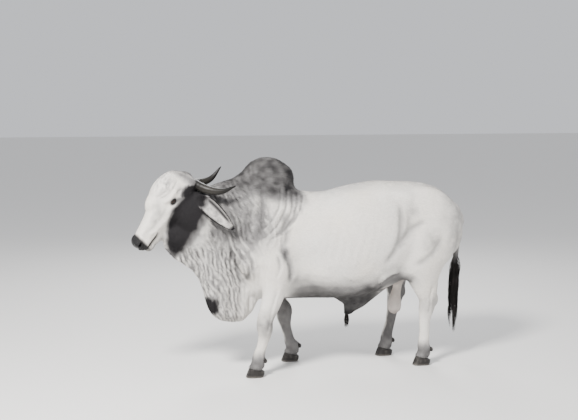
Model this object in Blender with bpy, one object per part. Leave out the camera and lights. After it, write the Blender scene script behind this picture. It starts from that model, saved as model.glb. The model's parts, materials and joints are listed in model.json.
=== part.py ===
"""A life-size Brahman bull, standing in mid stride with its head carried low.

The bull faces -X, its left side is -Y and the ground is z = 0. The flesh is modelled whole, from oval
lofts and rounded muscle forms fused together, and is then parted where the body's own parts meet.
"""

import math
import random

import bmesh
import bpy
import numpy as np
from mathutils import Euler, Matrix, Vector

# Driving sizes, in metres
WITHERS = 1.44  # back behind the hump
HUMP_TOP = 1.70
HIP_TOP = 1.525
BARREL_HALF = 0.365  # half the width of the barrel
KNEE_HEIGHT = 0.40
HOCK_HEIGHT = 0.50
CORONET = 0.072  # top of the hooves at the toe
GAP = 0.0003  # clearance between touching parts

# The bounding box is centred on the origin by this move
CENTRE_SHIFT = Vector((-0.0292, 0.0, 0.0))

# The head has its own frame, with its origin midway between the eyes
HEAD_PLACE = Vector((-1.02, -0.055, 1.37))
HEAD_PITCH = math.radians(-50)  # nose down
HEAD_YAW = math.radians(8)  # nose towards the left side
HEAD_ROLL = math.radians(5)
HEAD = (
    Matrix.Translation(HEAD_PLACE)
    @ Matrix.Rotation(HEAD_YAW, 4, "Z")
    @ Matrix.Rotation(HEAD_ROLL, 4, "X")
    @ Matrix.Rotation(HEAD_PITCH, 4, "Y")
)

BODY_VOXEL = 0.009
BODY_TRIANGLES = 7200
FINE_FACTOR = 1.0
DETAIL = (0.77, 0.55, 0.42, 0.2)  # head, folds of the dewlap, legs, trunk

LEFT, RIGHT = -1, 1


def clear_scene():
    for obj in list(bpy.data.objects):
        bpy.data.objects.remove(obj)


def through(rows, steps):
    """Rows of numbers made denser along a smooth curve that passes through every one of them."""
    rows = np.array(rows, float)
    padded = np.vstack([2 * rows[0] - rows[1], rows, 2 * rows[-1] - rows[-2]])
    out = []
    for i in range(len(rows) - 1):
        before, a, b, after = padded[i : i + 4]
        for t in np.arange(steps) / steps:
            out.append(
                0.5
                * (
                    2 * a
                    + (b - before) * t
                    + (2 * before - 5 * a + 4 * b - after) * t**2
                    + (3 * a - before - 3 * b + after) * t**3
                )
            )
    out.append(rows[-1])
    return np.array(out)


def loft(rows, turns=24, steps=4, power=2.0, place=None):
    """A closed body through oval rings: each row is (x, y, z, half width, half size ahead, half size behind).

    The half width runs across the body, and the other two run square to it and to the path: up and down
    on a path along X, rear and front on a path that goes down.
    """
    dense = through(rows, steps)
    centres = dense[:, :3]
    tangents = np.gradient(centres, axis=0)
    mesh = bmesh.new()
    rings = []
    for centre, tangent, (wide, plus, minus) in zip(centres, tangents, np.maximum(dense[:, 3:6], 0.002)):
        along = Vector(tangent).normalized()
        side = (Vector((0, 1, 0)) - along * along.y).normalized()
        third = along.cross(side)
        ring = []
        for k in range(turns):
            angle = 2 * math.pi * k / turns
            c, s = math.cos(angle), math.sin(angle)
            c = math.copysign(abs(c) ** (2 / power), c)
            s = math.copysign(abs(s) ** (2 / power), s)
            reach = plus if s > 0 else minus
            ring.append(mesh.verts.new(Vector(centre) + side * wide * c + third * reach * s))
        rings.append(ring)
    for a, b in zip(rings, rings[1:]):
        for k in range(turns):
            mesh.faces.new((a[k], a[(k + 1) % turns], b[(k + 1) % turns], b[k]))
    mesh.faces.new(rings[0])
    mesh.faces.new(rings[-1])
    bmesh.ops.recalc_face_normals(mesh, faces=mesh.faces)
    if place is not None:
        mesh.transform(place)
    return mesh


def blob(centre, radii, turn=(0, 0, 0), place=None, detail=3):
    """A rounded muscle or bone form: an ellipsoid of those radii, turned by degrees."""
    mesh = bmesh.new()
    bmesh.ops.create_icosphere(mesh, subdivisions=detail, radius=1)
    shape = (
        Matrix.Translation(centre)
        @ Euler([math.radians(t) for t in turn]).to_matrix().to_4x4()
        @ Matrix.Diagonal((*radii, 1))
    )
    mesh.transform(shape)
    if place is not None:
        mesh.transform(place)
    return mesh


def object_of(name, mesh):
    data = bpy.data.meshes.new(name)
    mesh.to_mesh(data)
    mesh.free()
    obj = bpy.data.objects.new(name, data)
    bpy.context.scene.collection.objects.link(obj)
    return obj


def joined(name, meshes):
    """One object that holds all these meshes side by side, not yet fused."""
    whole = bmesh.new()
    for mesh in meshes:
        part = bpy.data.meshes.new("form")
        mesh.to_mesh(part)
        mesh.free()
        whole.from_mesh(part)
        bpy.data.meshes.remove(part)
    return object_of(name, whole)


def apply_modifiers(obj):
    """The object's mesh as its modifiers leave it, and the modifiers removed."""
    graph = bpy.context.evaluated_depsgraph_get()
    done = bpy.data.meshes.new_from_object(obj.evaluated_get(graph))
    obj.modifiers.clear()
    obj.data = done
    return obj


def spread(verts):
    """The volume of the box around some vertices."""
    points = np.array([v.co for v in verts])
    return float(np.prod(np.ptp(points, axis=0) + 1e-6))


def keep_largest(obj):
    """Drops every closed surface of the object but its largest."""
    mesh = bmesh.new()
    mesh.from_mesh(obj.data)
    bmesh.ops.remove_doubles(mesh, verts=mesh.verts, dist=1e-6)
    mesh.verts.ensure_lookup_table()
    seen, islands = set(), []
    for start in mesh.verts:
        if start in seen:
            continue
        island, stack = [], [start]
        seen.add(start)
        while stack:
            vert = stack.pop()
            island.append(vert)
            for edge in vert.link_edges:
                other = edge.other_vert(vert)
                if other not in seen:
                    seen.add(other)
                    stack.append(other)
        islands.append(island)
    islands.sort(key=spread)
    for island in islands[:-1]:
        bmesh.ops.delete(mesh, geom=island, context="VERTS")
    bmesh.ops.triangulate(mesh, faces=mesh.faces)
    mesh.to_mesh(obj.data)
    mesh.free()
    return obj


def boolean(obj, others, operation, solver="EXACT"):
    """Joins or cuts the object with closed mesh objects, applies it, and removes those objects."""
    group = bpy.data.collections.new("operands")
    for other in others:
        group.objects.link(other)
    modifier = obj.modifiers.new("boolean", "BOOLEAN")
    modifier.operation = operation
    modifier.solver = solver
    modifier.operand_type = "COLLECTION"
    modifier.collection = group
    apply_modifiers(obj)
    for other in others:
        bpy.data.objects.remove(other)
    bpy.data.collections.remove(group)
    return keep_largest(obj)


# Trunk: chest, barrel, loin and rump, with the shoulder and hip muscles that swell its sides


def trunk_rows():
    """x, y, z centre, half width, height above it and depth below it, from the chest to the pin bones."""
    sections = [
        (-0.56, 0.98, 0.13, 1.22, 0.74),
        (-0.46, 1.00, 0.215, 1.40, 0.62),
        (-0.30, 1.00, 0.27, 1.47, 0.57),
        (-0.10, 1.00, 0.30, WITHERS, 0.565),
        (0.12, 0.98, 0.335, WITHERS - 0.02, 0.56),
        (0.36, 0.97, BARREL_HALF, WITHERS + 0.015, 0.555),
        (0.60, 1.00, BARREL_HALF - 0.005, HIP_TOP - 0.03, 0.60),
        (0.80, 1.06, 0.315, HIP_TOP, 0.70),
        (0.98, 1.12, 0.26, HIP_TOP - 0.03, 0.80),
        (1.15, 1.12, 0.205, 1.405, 0.84),
        (1.28, 1.10, 0.15, 1.285, 0.90),
        (1.355, 1.06, 0.09, 1.17, 0.94),
    ]
    return [(x, 0, z, half, top - z, z - bottom) for x, z, half, top, bottom in sections]


def trunk_forms():
    forms = [loft(trunk_rows(), turns=32, power=2.15)]
    # The hump stands over the shoulders and leans back over the withers
    forms.append(blob((-0.27, 0, HUMP_TOP - 0.20), (0.225, 0.115, 0.21), (0, 14, 0)))
    forms.append(blob((-0.42, 0, HUMP_TOP - 0.255), (0.27, 0.12, 0.15), (0, -33, 0)))
    forms.append(blob((-0.15, 0, HUMP_TOP - 0.165), (0.105, 0.09, 0.115), (0, 30, 0)))
    forms.append(blob((-0.24, 0, 1.36), (0.27, 0.17, 0.15), (0, 5, 0)))
    for side in (LEFT, RIGHT):
        # Shoulder blade, point of the shoulder and the muscle behind the elbow
        forms.append(blob((-0.28, side * 0.170, 1.07), (0.19, 0.120, 0.28), (side * 6, 16, 0)))
        forms.append(blob((-0.42, side * 0.165, 0.94), (0.13, 0.105, 0.18), (0, 10, 0)))
        forms.append(blob((-0.20, side * 0.235, 0.94), (0.16, 0.085, 0.17), (0, 35, 0)))
        # Barrel, hip bone, rump and thigh
        forms.append(blob((0.36, side * 0.17, 0.88), (0.48, 0.20, 0.30), (0, -3, 0)))
        forms.append(blob((0.79, side * 0.190, 1.370), (0.13, 0.070, 0.065), (0, 8, side * 14)))
        forms.append(blob((1.02, side * 0.155, 1.19), (0.29, 0.135, 0.26), (0, 32, 0)))
        forms.append(blob((1.18, side * 0.135, 1.09), (0.17, 0.10, 0.24), (0, -6, 0)))
        forms.append(blob((1.28, side * 0.085, 1.245), (0.08, 0.06, 0.07), (0, 20, 0)))
    return forms


# Neck and dewlap


def neck_forms():
    path = [
        (-0.16, 0, 1.12, 0.19, 0.34, 0.40),
        (-0.34, 0, 1.14, 0.215, 0.36, 0.44),
        (-0.50, -0.005, 1.17, 0.195, 0.335, 0.40),
        (-0.64, -0.015, 1.21, 0.170, 0.285, 0.34),
        (-0.77, -0.03, 1.25, 0.150, 0.235, 0.27),
        (-0.88, -0.045, 1.30, 0.130, 0.195, 0.20),
        (-0.97, -0.055, 1.34, 0.110, 0.130, 0.14),
    ]
    throat = [
        (-0.80, -0.04, 1.10, 0.110, 0.20, 0.12),
        (-0.92, -0.05, 1.11, 0.085, 0.16, 0.09),
        (-1.02, -0.06, 1.12, 0.060, 0.11, 0.08),
        (-1.09, -0.065, 1.13, 0.035, 0.06, 0.05),
    ]
    return [loft(path, turns=28, power=2.1), loft(throat, turns=20)]


def dewlap_forms():
    """The loose skin from the chin to the brisket: thin and pleated, thick only at the brisket."""
    # x, top inside the neck, hanging edge, half width at the top, half width at the edge
    hang = [
        (-1.10, 1.08, 1.005, 0.012, 0.010),
        (-1.03, 1.10, 0.930, 0.025, 0.014),
        (-0.95, 1.14, 0.875, 0.050, 0.018),
        (-0.86, 1.14, 0.800, 0.075, 0.026),
        (-0.79, 1.12, 0.640, 0.095, 0.042),
        (-0.745, 1.08, 0.500, 0.100, 0.055),
        (-0.67, 1.04, 0.425, 0.115, 0.070),
        (-0.56, 1.00, 0.395, 0.125, 0.075),
        (-0.46, 0.96, 0.405, 0.130, 0.070),
        (-0.39, 0.92, 0.480, 0.120, 0.050),
        (-0.32, 0.88, 0.590, 0.100, 0.030),
    ]
    pleat_depth, pleat_length, levels, steps = 0.016, 0.082, 10, 4
    dense = through(hang, steps)
    mesh = bmesh.new()
    rings = []
    for x, top, edge, wide, thin in dense:
        ring = []
        lean = -0.055 * min(1.0, max(0.0, (-0.55 - x) / 0.35))  # follows the turned head
        for sheet in (LEFT, RIGHT):
            order = range(levels + 1) if sheet == LEFT else range(levels, -1, -1)
            for k in order:
                drop = k / levels
                half = wide + (thin - wide) * drop**0.8
                half *= math.sqrt(max(0.0, 1 - max(0.0, (drop - 0.86) / 0.14) ** 2 * 0.96))
                wave = pleat_depth * drop**1.5 * math.sin(2 * math.pi * (x + 0.05 * drop) / pleat_length)
                z = top + (edge - top) * drop
                ring.append(mesh.verts.new((x, lean + wave + sheet * half, z)))
        rings.append(ring)
    count = len(rings[0])
    for a, b in zip(rings, rings[1:]):
        for k in range(count):
            mesh.faces.new((a[k], a[(k + 1) % count], b[(k + 1) % count], b[k]))
    mesh.faces.new(rings[0])
    mesh.faces.new(rings[-1])
    bmesh.ops.recalc_face_normals(mesh, faces=mesh.faces)
    return [mesh]


# Legs. The left fore and the right hind are forward, and the other two are back


def fore_leg_rows(side, knee_x, foot_x):
    """Elbow to pastern, going down: half width, half size to the rear, half size to the front."""
    y = side
    return [
        (-0.24, y * 0.245, 0.98, 0.085, 0.13, 0.15),
        (-0.235, y * 0.245, 0.86, 0.088, 0.125, 0.145),
        ((-0.24 + knee_x) / 2 + 0.03, y * 0.235, 0.70, 0.078, 0.095, 0.110),
        ((-0.24 + knee_x) / 2 - 0.01, y * 0.225, 0.55, 0.066, 0.070, 0.082),
        (knee_x, y * 0.215, KNEE_HEIGHT + 0.045, 0.060, 0.062, 0.070),
        (knee_x, y * 0.212, KNEE_HEIGHT - 0.03, 0.061, 0.060, 0.070),
        (knee_x * 0.85 + foot_x * 0.15, y * 0.210, KNEE_HEIGHT - 0.10, 0.046, 0.046, 0.050),
        ((knee_x + foot_x) / 2, y * 0.207, 0.22, 0.040, 0.044, 0.042),
        (knee_x * 0.2 + foot_x * 0.8, y * 0.205, 0.155, 0.047, 0.053, 0.048),
        (foot_x + 0.012, y * 0.205, 0.115, 0.054, 0.062, 0.050),
        (foot_x - 0.008, y * 0.205, 0.075, 0.053, 0.056, 0.052),
        (foot_x - 0.020, y * 0.205, 0.045, 0.056, 0.060, 0.058),
    ]


def hind_leg_rows(side, hock_x, foot_x):
    y = side
    return [
        (0.99, y * 0.13, 1.22, 0.100, 0.25, 0.17),
        (0.98, y * 0.17, 1.10, 0.130, 0.31, 0.20),
        (0.98, y * 0.20, 0.98, 0.130, 0.285, 0.19),
        (0.5 * hock_x + 0.45, y * 0.215, 0.86, 0.115, 0.235, 0.165),
        (0.7 * hock_x + 0.26, y * 0.215, 0.74, 0.092, 0.175, 0.140),
        (0.9 * hock_x + 0.09, y * 0.205, 0.62, 0.068, 0.110, 0.095),
        (hock_x + 0.005, y * 0.200, HOCK_HEIGHT + 0.03, 0.056, 0.082, 0.066),
        (hock_x, y * 0.198, HOCK_HEIGHT - 0.04, 0.054, 0.070, 0.064),
        (hock_x * 0.85 + foot_x * 0.15 - 0.005, y * 0.195, HOCK_HEIGHT - 0.13, 0.042, 0.052, 0.050),
        ((hock_x + foot_x) / 2, y * 0.193, 0.26, 0.040, 0.046, 0.044),
        (hock_x * 0.15 + foot_x * 0.85, y * 0.190, 0.165, 0.047, 0.053, 0.048),
        (foot_x + 0.012, y * 0.190, 0.118, 0.054, 0.060, 0.050),
        (foot_x - 0.008, y * 0.190, 0.075, 0.053, 0.056, 0.052),
        (foot_x - 0.020, y * 0.190, 0.045, 0.056, 0.060, 0.058),
    ]


FORE_FEET = {LEFT: (-0.335, -0.405), RIGHT: (-0.070, -0.015)}  # knee x, foot x
HIND_FEET = {LEFT: (1.005, 0.985), RIGHT: (0.880, 0.800)}  # hock x, foot x
FORE_Y, HIND_Y = 0.205, 0.190


def leg_forms():
    forms = []
    for side in (LEFT, RIGHT):
        knee_x, foot_x = FORE_FEET[side]
        forms.append(loft(fore_leg_rows(side, knee_x, foot_x), turns=20, power=2.1))
        forms.append(blob((-0.135, side * 0.27, 0.835), (0.055, 0.04, 0.085), (0, 20, 0)))  # elbow
        forms.append(blob((knee_x - 0.012, side * 0.213, KNEE_HEIGHT + 0.01), (0.062, 0.066, 0.065)))
        hock_x, foot_x = HIND_FEET[side]
        forms.append(loft(hind_leg_rows(side, hock_x, foot_x), turns=20, power=2.1))
        forms.append(blob((hock_x + 0.075, side * 0.20, HOCK_HEIGHT + 0.035), (0.034, 0.030, 0.060)))
        stifle_x = 0.5 * hock_x + 0.315
        forms.append(blob((stifle_x, side * 0.235, 0.82), (0.10, 0.07, 0.13), (0, -20, 0)))
        # The flank fold runs from the stifle up to the belly wall
        forms.append(blob((stifle_x - 0.05, side * 0.20, 0.90), (0.05, 0.05, 0.20), (0, 12, 0)))
    return forms


# Sheath, scrotum and the root of the tail


def under_forms():
    sheath = [
        (0.74, 0, 0.66, 0.030, 0.05, 0.05),
        (0.60, 0, 0.585, 0.034, 0.07, 0.055),
        (0.49, 0, 0.520, 0.040, 0.08, 0.065),
        (0.425, 0, 0.465, 0.042, 0.06, 0.060),
        (0.400, 0, 0.415, 0.031, 0.038, 0.038),
        (0.392, 0, 0.385, 0.024, 0.027, 0.027),
    ]
    skin_fold = [
        (0.28, 0, 0.60, 0.030, 0.06, 0.045),
        (0.38, 0, 0.545, 0.030, 0.09, 0.055),
        (0.48, 0, 0.525, 0.028, 0.09, 0.060),
    ]
    purse = [
        (0.860, 0, 0.72, 0.055, 0.06, 0.06),
        (0.835, 0, 0.62, 0.040, 0.040, 0.040),
        (0.815, 0, 0.54, 0.050, 0.050, 0.050),
        (0.808, 0, 0.47, 0.062, 0.066, 0.062),
        (0.806, 0, 0.42, 0.055, 0.058, 0.055),
        (0.806, 0, 0.385, 0.022, 0.024, 0.022),
    ]
    dock = [
        (0.98, 0, 1.455, 0.055, 0.035, 0.05),
        (1.13, 0, 1.405, 0.048, 0.040, 0.05),
        (1.25, 0, 1.325, 0.040, 0.040, 0.05),
        (1.335, 0, 1.23, 0.035, 0.038, 0.045),
        (1.364, 0, 1.14, 0.031, 0.033, 0.036),
        (1.358, 0, 1.05, 0.029, 0.031, 0.031),
    ]
    return [loft(sheath), loft(skin_fold), loft(purse, power=2.0), loft(dock, turns=16)]


# Head


def head_forms():
    # Along the head from the crown to the nose: x, y, z centre, half width, height, depth
    skull = [
        (0.215, 0, -0.02, 0.080, 0.06, 0.07),
        (0.175, 0, 0.00, 0.104, 0.110, 0.11),
        (0.10, 0, 0.015, 0.116, 0.153, 0.14),
        (0.02, 0, 0.02, 0.120, 0.170, 0.14),
        (-0.06, 0, 0.02, 0.110, 0.158, 0.13),
        (-0.14, 0, 0.02, 0.092, 0.126, 0.11),
        (-0.24, 0, 0.015, 0.080, 0.100, 0.08),
        (-0.33, 0, 0.005, 0.076, 0.085, 0.07),
        (-0.40, 0, -0.005, 0.072, 0.068, 0.06),
        (-0.435, 0, -0.008, 0.060, 0.050, 0.045),
    ]
    jaw = [
        (0.12, 0, -0.09, 0.075, 0.10, 0.08),
        (0.06, 0, -0.105, 0.084, 0.10, 0.095),
        (-0.02, 0, -0.105, 0.080, 0.09, 0.090),
        (-0.10, 0, -0.095, 0.066, 0.07, 0.076),
        (-0.19, 0, -0.082, 0.055, 0.06, 0.060),
        (-0.28, 0, -0.070, 0.052, 0.05, 0.050),
        (-0.35, 0, -0.062, 0.054, 0.045, 0.044),
        (-0.40, 0, -0.055, 0.044, 0.035, 0.034),
    ]
    forms = [
        loft(skull, turns=28, power=2.3, place=HEAD),
        loft(jaw, turns=24, power=2.2, place=HEAD),
        blob((-0.395, 0, 0.012), (0.060, 0.084, 0.060), (0, 8, 0), HEAD),  # muzzle
        blob((-0.375, 0, -0.078), (0.046, 0.054, 0.032), place=HEAD),  # lower lip and chin
        blob((0.045, 0, 0.105), (0.170, 0.112, 0.100), (0, 5, 0), HEAD),  # domed forehead
        blob((-0.045, 0, 0.095), (0.145, 0.094, 0.084), (0, 6, 0), HEAD),
    ]
    for side in (LEFT, RIGHT):
        forms.append(blob((0.02, side * 0.070, -0.095), (0.115, 0.050, 0.10), (0, -20, side * 6), HEAD))
        forms.append(blob((0.012, side * 0.100, 0.070), (0.075, 0.032, 0.030), (0, 6, side * 8), HEAD))
        forms.append(blob((-0.065, side * 0.086, 0.012), (0.090, 0.032, 0.034), (0, 12, side * 10), HEAD))
        forms.append(blob((0.190, side * 0.075, -0.005), (0.048, 0.055, 0.048), place=HEAD))  # horn boss
        forms.append(blob((0.142, side * 0.092, -0.112), (0.050, 0.048, 0.050), place=HEAD))  # ear root
        forms.append(blob((-0.385, side * 0.052, -0.030), (0.060, 0.030, 0.036), place=HEAD))  # upper lip
    return forms


def softness(x, y, z):
    """How far each part of the fused body is smoothed: the trunk much, the head, feet and folds little."""
    if x < -0.80 and z > 0.98:
        return 0.07
    if z < 0.78 and not (0.24 < x < 0.80 and z > 0.66):
        return 0.07 if z < 0.60 else 0.07 + 0.93 * (z - 0.60) / 0.18
    if x < -0.30 and z < 1.05 and abs(y + 0.02) < 0.13:
        return 0.08
    if x > 1.12 and abs(y) < 0.075 and z > 1.0:
        return 0.15
    return 1.0


def fused_flesh():
    """The whole body of flesh, fused by a voxel remesh and smoothed."""
    forms = trunk_forms() + neck_forms() + dewlap_forms() + leg_forms() + under_forms() + head_forms()
    flesh = joined("flesh", forms)
    remesh = flesh.modifiers.new("fuse", "REMESH")
    remesh.mode = "VOXEL"
    remesh.voxel_size = BODY_VOXEL
    apply_modifiers(flesh)
    keep_largest(flesh)
    group = flesh.vertex_groups.new(name="soft")
    for vert in flesh.data.vertices:
        group.add([vert.index], softness(*vert.co), "REPLACE")
    smooth = flesh.modifiers.new("smooth", "SMOOTH")
    smooth.factor = 0.5
    smooth.iterations = 130
    smooth.vertex_group = "soft"
    apply_modifiers(flesh)
    return flesh



# Ears, horns, eyes, hooves and tail: each is its own solid, set into the flesh


def bend(points, t):
    a, b, c = (Vector(p) for p in points)
    return a * (1 - t) ** 2 + b * 2 * t * (1 - t) + c * t**2


EAR_ROOT = (0.150, 0.108, -0.122)  # in the head's frame
EAR_LENGTH_STEPS, EAR_WIDTH_STEPS = 11, 8
EAR_WIDTHS = [0.027, 0.036, 0.051, 0.062, 0.067, 0.068, 0.067, 0.063, 0.057, 0.047, 0.033, 0.013]
EAR_THICK = 0.008


def ear(side):
    """A long hanging ear, rolled to a tube at the root and open to a cup along its length."""
    x, y, z = EAR_ROOT
    root = HEAD @ Vector((x, side * y, z))
    path = [root, root + Vector((0.035, side * 0.115, -0.045)), root + Vector((0.225, side * 0.120, -0.235))]
    mesh = bmesh.new()
    rings = []
    for i, half in enumerate(EAR_WIDTHS):
        t = i / EAR_LENGTH_STEPS
        centre = bend(path, t)
        along = (bend(path, t + 0.01) - bend(path, t - 0.01)).normalized()
        face = Vector((-0.55, side * 0.80, 0.10))
        face = (face - along * along.dot(face)).normalized()
        across = along.cross(face)
        cup = 1.5 - 1.0 * min(1, t / 0.35)
        ring = []
        for sheet in (0, 1):
            for j in range(EAR_WIDTH_STEPS + 1):
                v = 2 * j / EAR_WIDTH_STEPS - 1
                v = v if sheet == 0 else -v
                depth = cup * half * (v * v - 0.6)
                thick = EAR_THICK * (1 - 0.6 * v * v) * (1 - 0.6 * t) * (1 if sheet else -0.4)
                ring.append(mesh.verts.new(centre + across * half * v + face * (depth - thick)))
        rings.append(ring)
    count = len(rings[0])
    for a, b in zip(rings, rings[1:]):
        for k in range(count):
            mesh.faces.new((a[k], a[(k + 1) % count], b[(k + 1) % count], b[k]))
    mesh.faces.new(rings[0])
    mesh.faces.new(rings[-1])
    bmesh.ops.recalc_face_normals(mesh, faces=mesh.faces)
    return mesh


HORN_ROOT = (0.209, 0.088, -0.030)
HORN_PATHS = {
    LEFT: [(-0.03, 0.03, 0.015), (0.06, -0.055, -0.033), (0.17, -0.100, -0.050), (0.280, -0.110, -0.010)],
    RIGHT: [(-0.02, -0.035, 0.0), (0.075, 0.052, -0.020), (0.180, 0.085, 0.005), (0.265, 0.090, 0.100)],
}
HORN_RADII = [0.036, 0.034, 0.024, 0.006]


def horn(side):
    x, y, z = HORN_ROOT
    root = HEAD @ Vector((x, side * y, z))
    rows = [(*(root + Vector(p)), r, r, r) for p, r in zip(HORN_PATHS[side], HORN_RADII)]
    return loft(rows, turns=12, steps=4, power=2.0)


EYE = (-0.004, 0.100, 0.036)
EYE_RADIUS = 0.021
LID_RADIUS = 0.028


def eye_ball(side):
    mesh = bmesh.new()
    bmesh.ops.create_icosphere(mesh, subdivisions=2, radius=EYE_RADIUS)
    mesh.transform(HEAD @ Matrix.Translation((EYE[0], side * EYE[1], EYE[2])))
    return mesh


def claw(foot_x, foot_y, half):
    """One half of a cloven hoof: flat sole, flat inner wall, and a top that slopes down to the heel."""
    mesh = bmesh.new()
    rings = []
    turns = 14
    for level, (toe, heel, wide, lean) in enumerate(
        [(0.086, 0.052, 0.053, 0.0), (0.078, 0.054, 0.054, 0.006), (0.067, 0.052, 0.051, 0.010)]
    ):
        ring = []
        for k in range(turns + 1):
            angle = math.pi * k / turns
            c = math.cos(angle)
            x = foot_x - (toe if c > 0 else heel) * math.copysign(abs(c) ** 0.8, c) + lean
            y = foot_y + half * (0.003 + (wide - 0.003) * math.sin(angle) ** 0.75)
            top = coronet_height(x, foot_x) - GAP / 2
            ring.append(mesh.verts.new((x, y, top * level / 2)))
        rings.append(ring)
    count = len(rings[0])
    for a, b in zip(rings, rings[1:]):
        for k in range(count):
            mesh.faces.new((a[k], a[(k + 1) % count], b[(k + 1) % count], b[k]))
    mesh.faces.new(rings[0])
    mesh.faces.new(rings[-1])
    bmesh.ops.recalc_face_normals(mesh, faces=mesh.faces)
    return mesh


CORONET_SLOPE = 0.24


def coronet_height(x, foot_x):
    return CORONET - CORONET_SLOPE * (x - (foot_x - 0.060))


def dewclaw(foot_x, foot_y, half):
    mesh = bmesh.new()
    bmesh.ops.create_icosphere(mesh, subdivisions=2, radius=1)
    mesh.transform(
        Matrix.Translation((foot_x + 0.062, foot_y + half * 0.025, 0.128))
        @ Matrix.Rotation(math.radians(-25), 4, "Y")
        @ Matrix.Diagonal((0.018, 0.014, 0.023, 1))
    )
    return mesh


TAIL_CUT = 1.06
TAIL_END = 0.64
SWITCH_X, SWITCH_Y = 1.328, -0.006


def tail_rows():
    return [
        (1.356, 0.000, TAIL_CUT - GAP, 0.030, 0.031, 0.031),
        (1.350, -0.004, 0.92, 0.025, 0.026, 0.026),
        (1.336, -0.006, 0.78, 0.021, 0.022, 0.022),
        (SWITCH_X, SWITCH_Y, TAIL_END, 0.019, 0.019, 0.019),
    ]


def squared(mesh, top, bottom):
    """The end rings of a hanging loft made level."""
    for vert in mesh.verts:
        if abs(vert.co.z - top) < 0.006:
            vert.co.z = top
        if abs(vert.co.z - bottom) < 0.006:
            vert.co.z = bottom
    return mesh


def hair_lock(path, wide, thick, across):
    """A flat tapered lock of hair along a path: broad across that direction, thin the other way."""
    mesh = bmesh.new()
    path = [Vector(p) for p in path]
    rings = []
    last = len(path) - 1
    for i, point in enumerate(path):
        along = (path[min(i + 1, last)] - path[max(i - 1, 0)]).normalized()
        side = (across - along * across.dot(along)).normalized()
        flat = along.cross(side)
        t = i / last
        swell = (0.75 + 0.6 * t) * (1 - t**2.2) + 0.10
        w, d = wide * swell, thick * (1 - 0.7 * t)
        ring = [side * w, flat * d, side * -w, flat * -d]
        rings.append([mesh.verts.new(point + offset) for offset in ring])
    for a, b in zip(rings, rings[1:]):
        for k in range(4):
            mesh.faces.new((a[k], a[(k + 1) % 4], b[(k + 1) % 4], b[k]))
    mesh.faces.new(rings[0])
    mesh.faces.new(rings[-1])
    bmesh.ops.recalc_face_normals(mesh, faces=mesh.faces)
    return mesh


def tail_switch():
    """The long hair at the end of the tail: locks hanging from a slender core."""
    x, y = SWITCH_X, SWITCH_Y
    top = TAIL_END - GAP
    rows = [(x, y, z, r, r, r) for z, r in ((top, 0.019), (0.59, 0.023), (0.50, 0.022), (0.40, 0.008))]
    core = object_of("tail_switch", squared(loft(rows, turns=10, steps=2, power=2.0), top, 0))
    chance = random.Random(11)
    locks = []
    for k in range(SWITCH_LOCKS):
        share = (k + 0.5) / SWITCH_LOCKS
        angle = k * 2.39996 + chance.uniform(-0.2, 0.2)
        start = 0.615 - 0.17 * share
        length = chance.uniform(0.20, 0.28)
        reach = 0.030 + 0.016 * math.sin(math.pi * min(1, share * 1.2)) + chance.uniform(0, 0.008)
        turn = chance.uniform(-0.35, 0.35)
        path = []
        for t in (0.0, 0.16, 0.42, 0.72, 1.0):
            radius = 0.008 + (reach - 0.008) * math.sin(math.pi * min(0.5, t * 1.1)) * (1 - 0.45 * t**2)
            a = angle + turn * t
            path.append((x + radius * math.cos(a), y + radius * math.sin(a), start - length * t))
        across = Vector((-math.sin(angle), math.cos(angle), 0))
        locks.append(object_of("lock", hair_lock(path, chance.uniform(0.010, 0.014), 0.0045, across)))
    return boolean(core, locks, "UNION")


SHEATH_TIP = Vector((0.394, 0, 0.402))
SHEATH_LOCKS = 7
SWITCH_LOCKS = 20


def tuft_solid():
    """The tuft of long hair that hangs from the sheath's opening."""
    x, y, top = SHEATH_TIP.x, 0, SHEATH_TIP.z - GAP
    rows = [(x, y, top, 0.016, 0.018, 0.018), (x, y, top - 0.02, 0.014, 0.015, 0.015), (x, y, top - 0.045, 0.005, 0.005, 0.005)]
    core = object_of("sheath_tuft", squared(loft(rows, turns=10, steps=1, power=2.0), top, 0))
    chance = random.Random(5)
    locks = []
    for k in range(SHEATH_LOCKS):
        angle = k * 2.39996
        length = chance.uniform(0.07, 0.105)
        path = []
        for t in (0.0, 0.3, 0.65, 1.0):
            radius = 0.006 + 0.011 * math.sin(math.pi * min(0.5, t)) * (1 - 0.4 * t)
            path.append((x + radius * math.cos(angle), radius * math.sin(angle), top - 0.006 - length * t))
        across = Vector((-math.sin(angle), math.cos(angle), 0))
        locks.append(object_of("lock", hair_lock(path, 0.0065, 0.0032, across)))
    return boolean(core, locks, "UNION")


# Parting the flesh


def space(planes, grow=0.0):
    """A convex block: the side of every plane that its normal points away from."""
    mesh = bmesh.new()
    bmesh.ops.create_cube(mesh, size=8)
    for point, normal in planes:
        normal = Vector(normal).normalized()
        bmesh.ops.bisect_plane(
            mesh,
            geom=mesh.verts[:] + mesh.edges[:] + mesh.faces[:],
            plane_co=Vector(point) + normal * grow,
            plane_no=normal,
            clear_outer=True,
        )
        bmesh.ops.holes_fill(mesh, edges=[e for e in mesh.edges if e.is_boundary])
    bmesh.ops.recalc_face_normals(mesh, faces=mesh.faces)
    return mesh


HEAD_PLANE = ((-0.785, 0, 1.3), (1, 0, 0.12))
NECK_PLANE = ((-0.56, 0, 1.2), (1, 0, 0.22))


def away(plane):
    """The same plane seen from its other side."""
    point, normal = plane
    return point, tuple(-n for n in normal)


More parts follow.
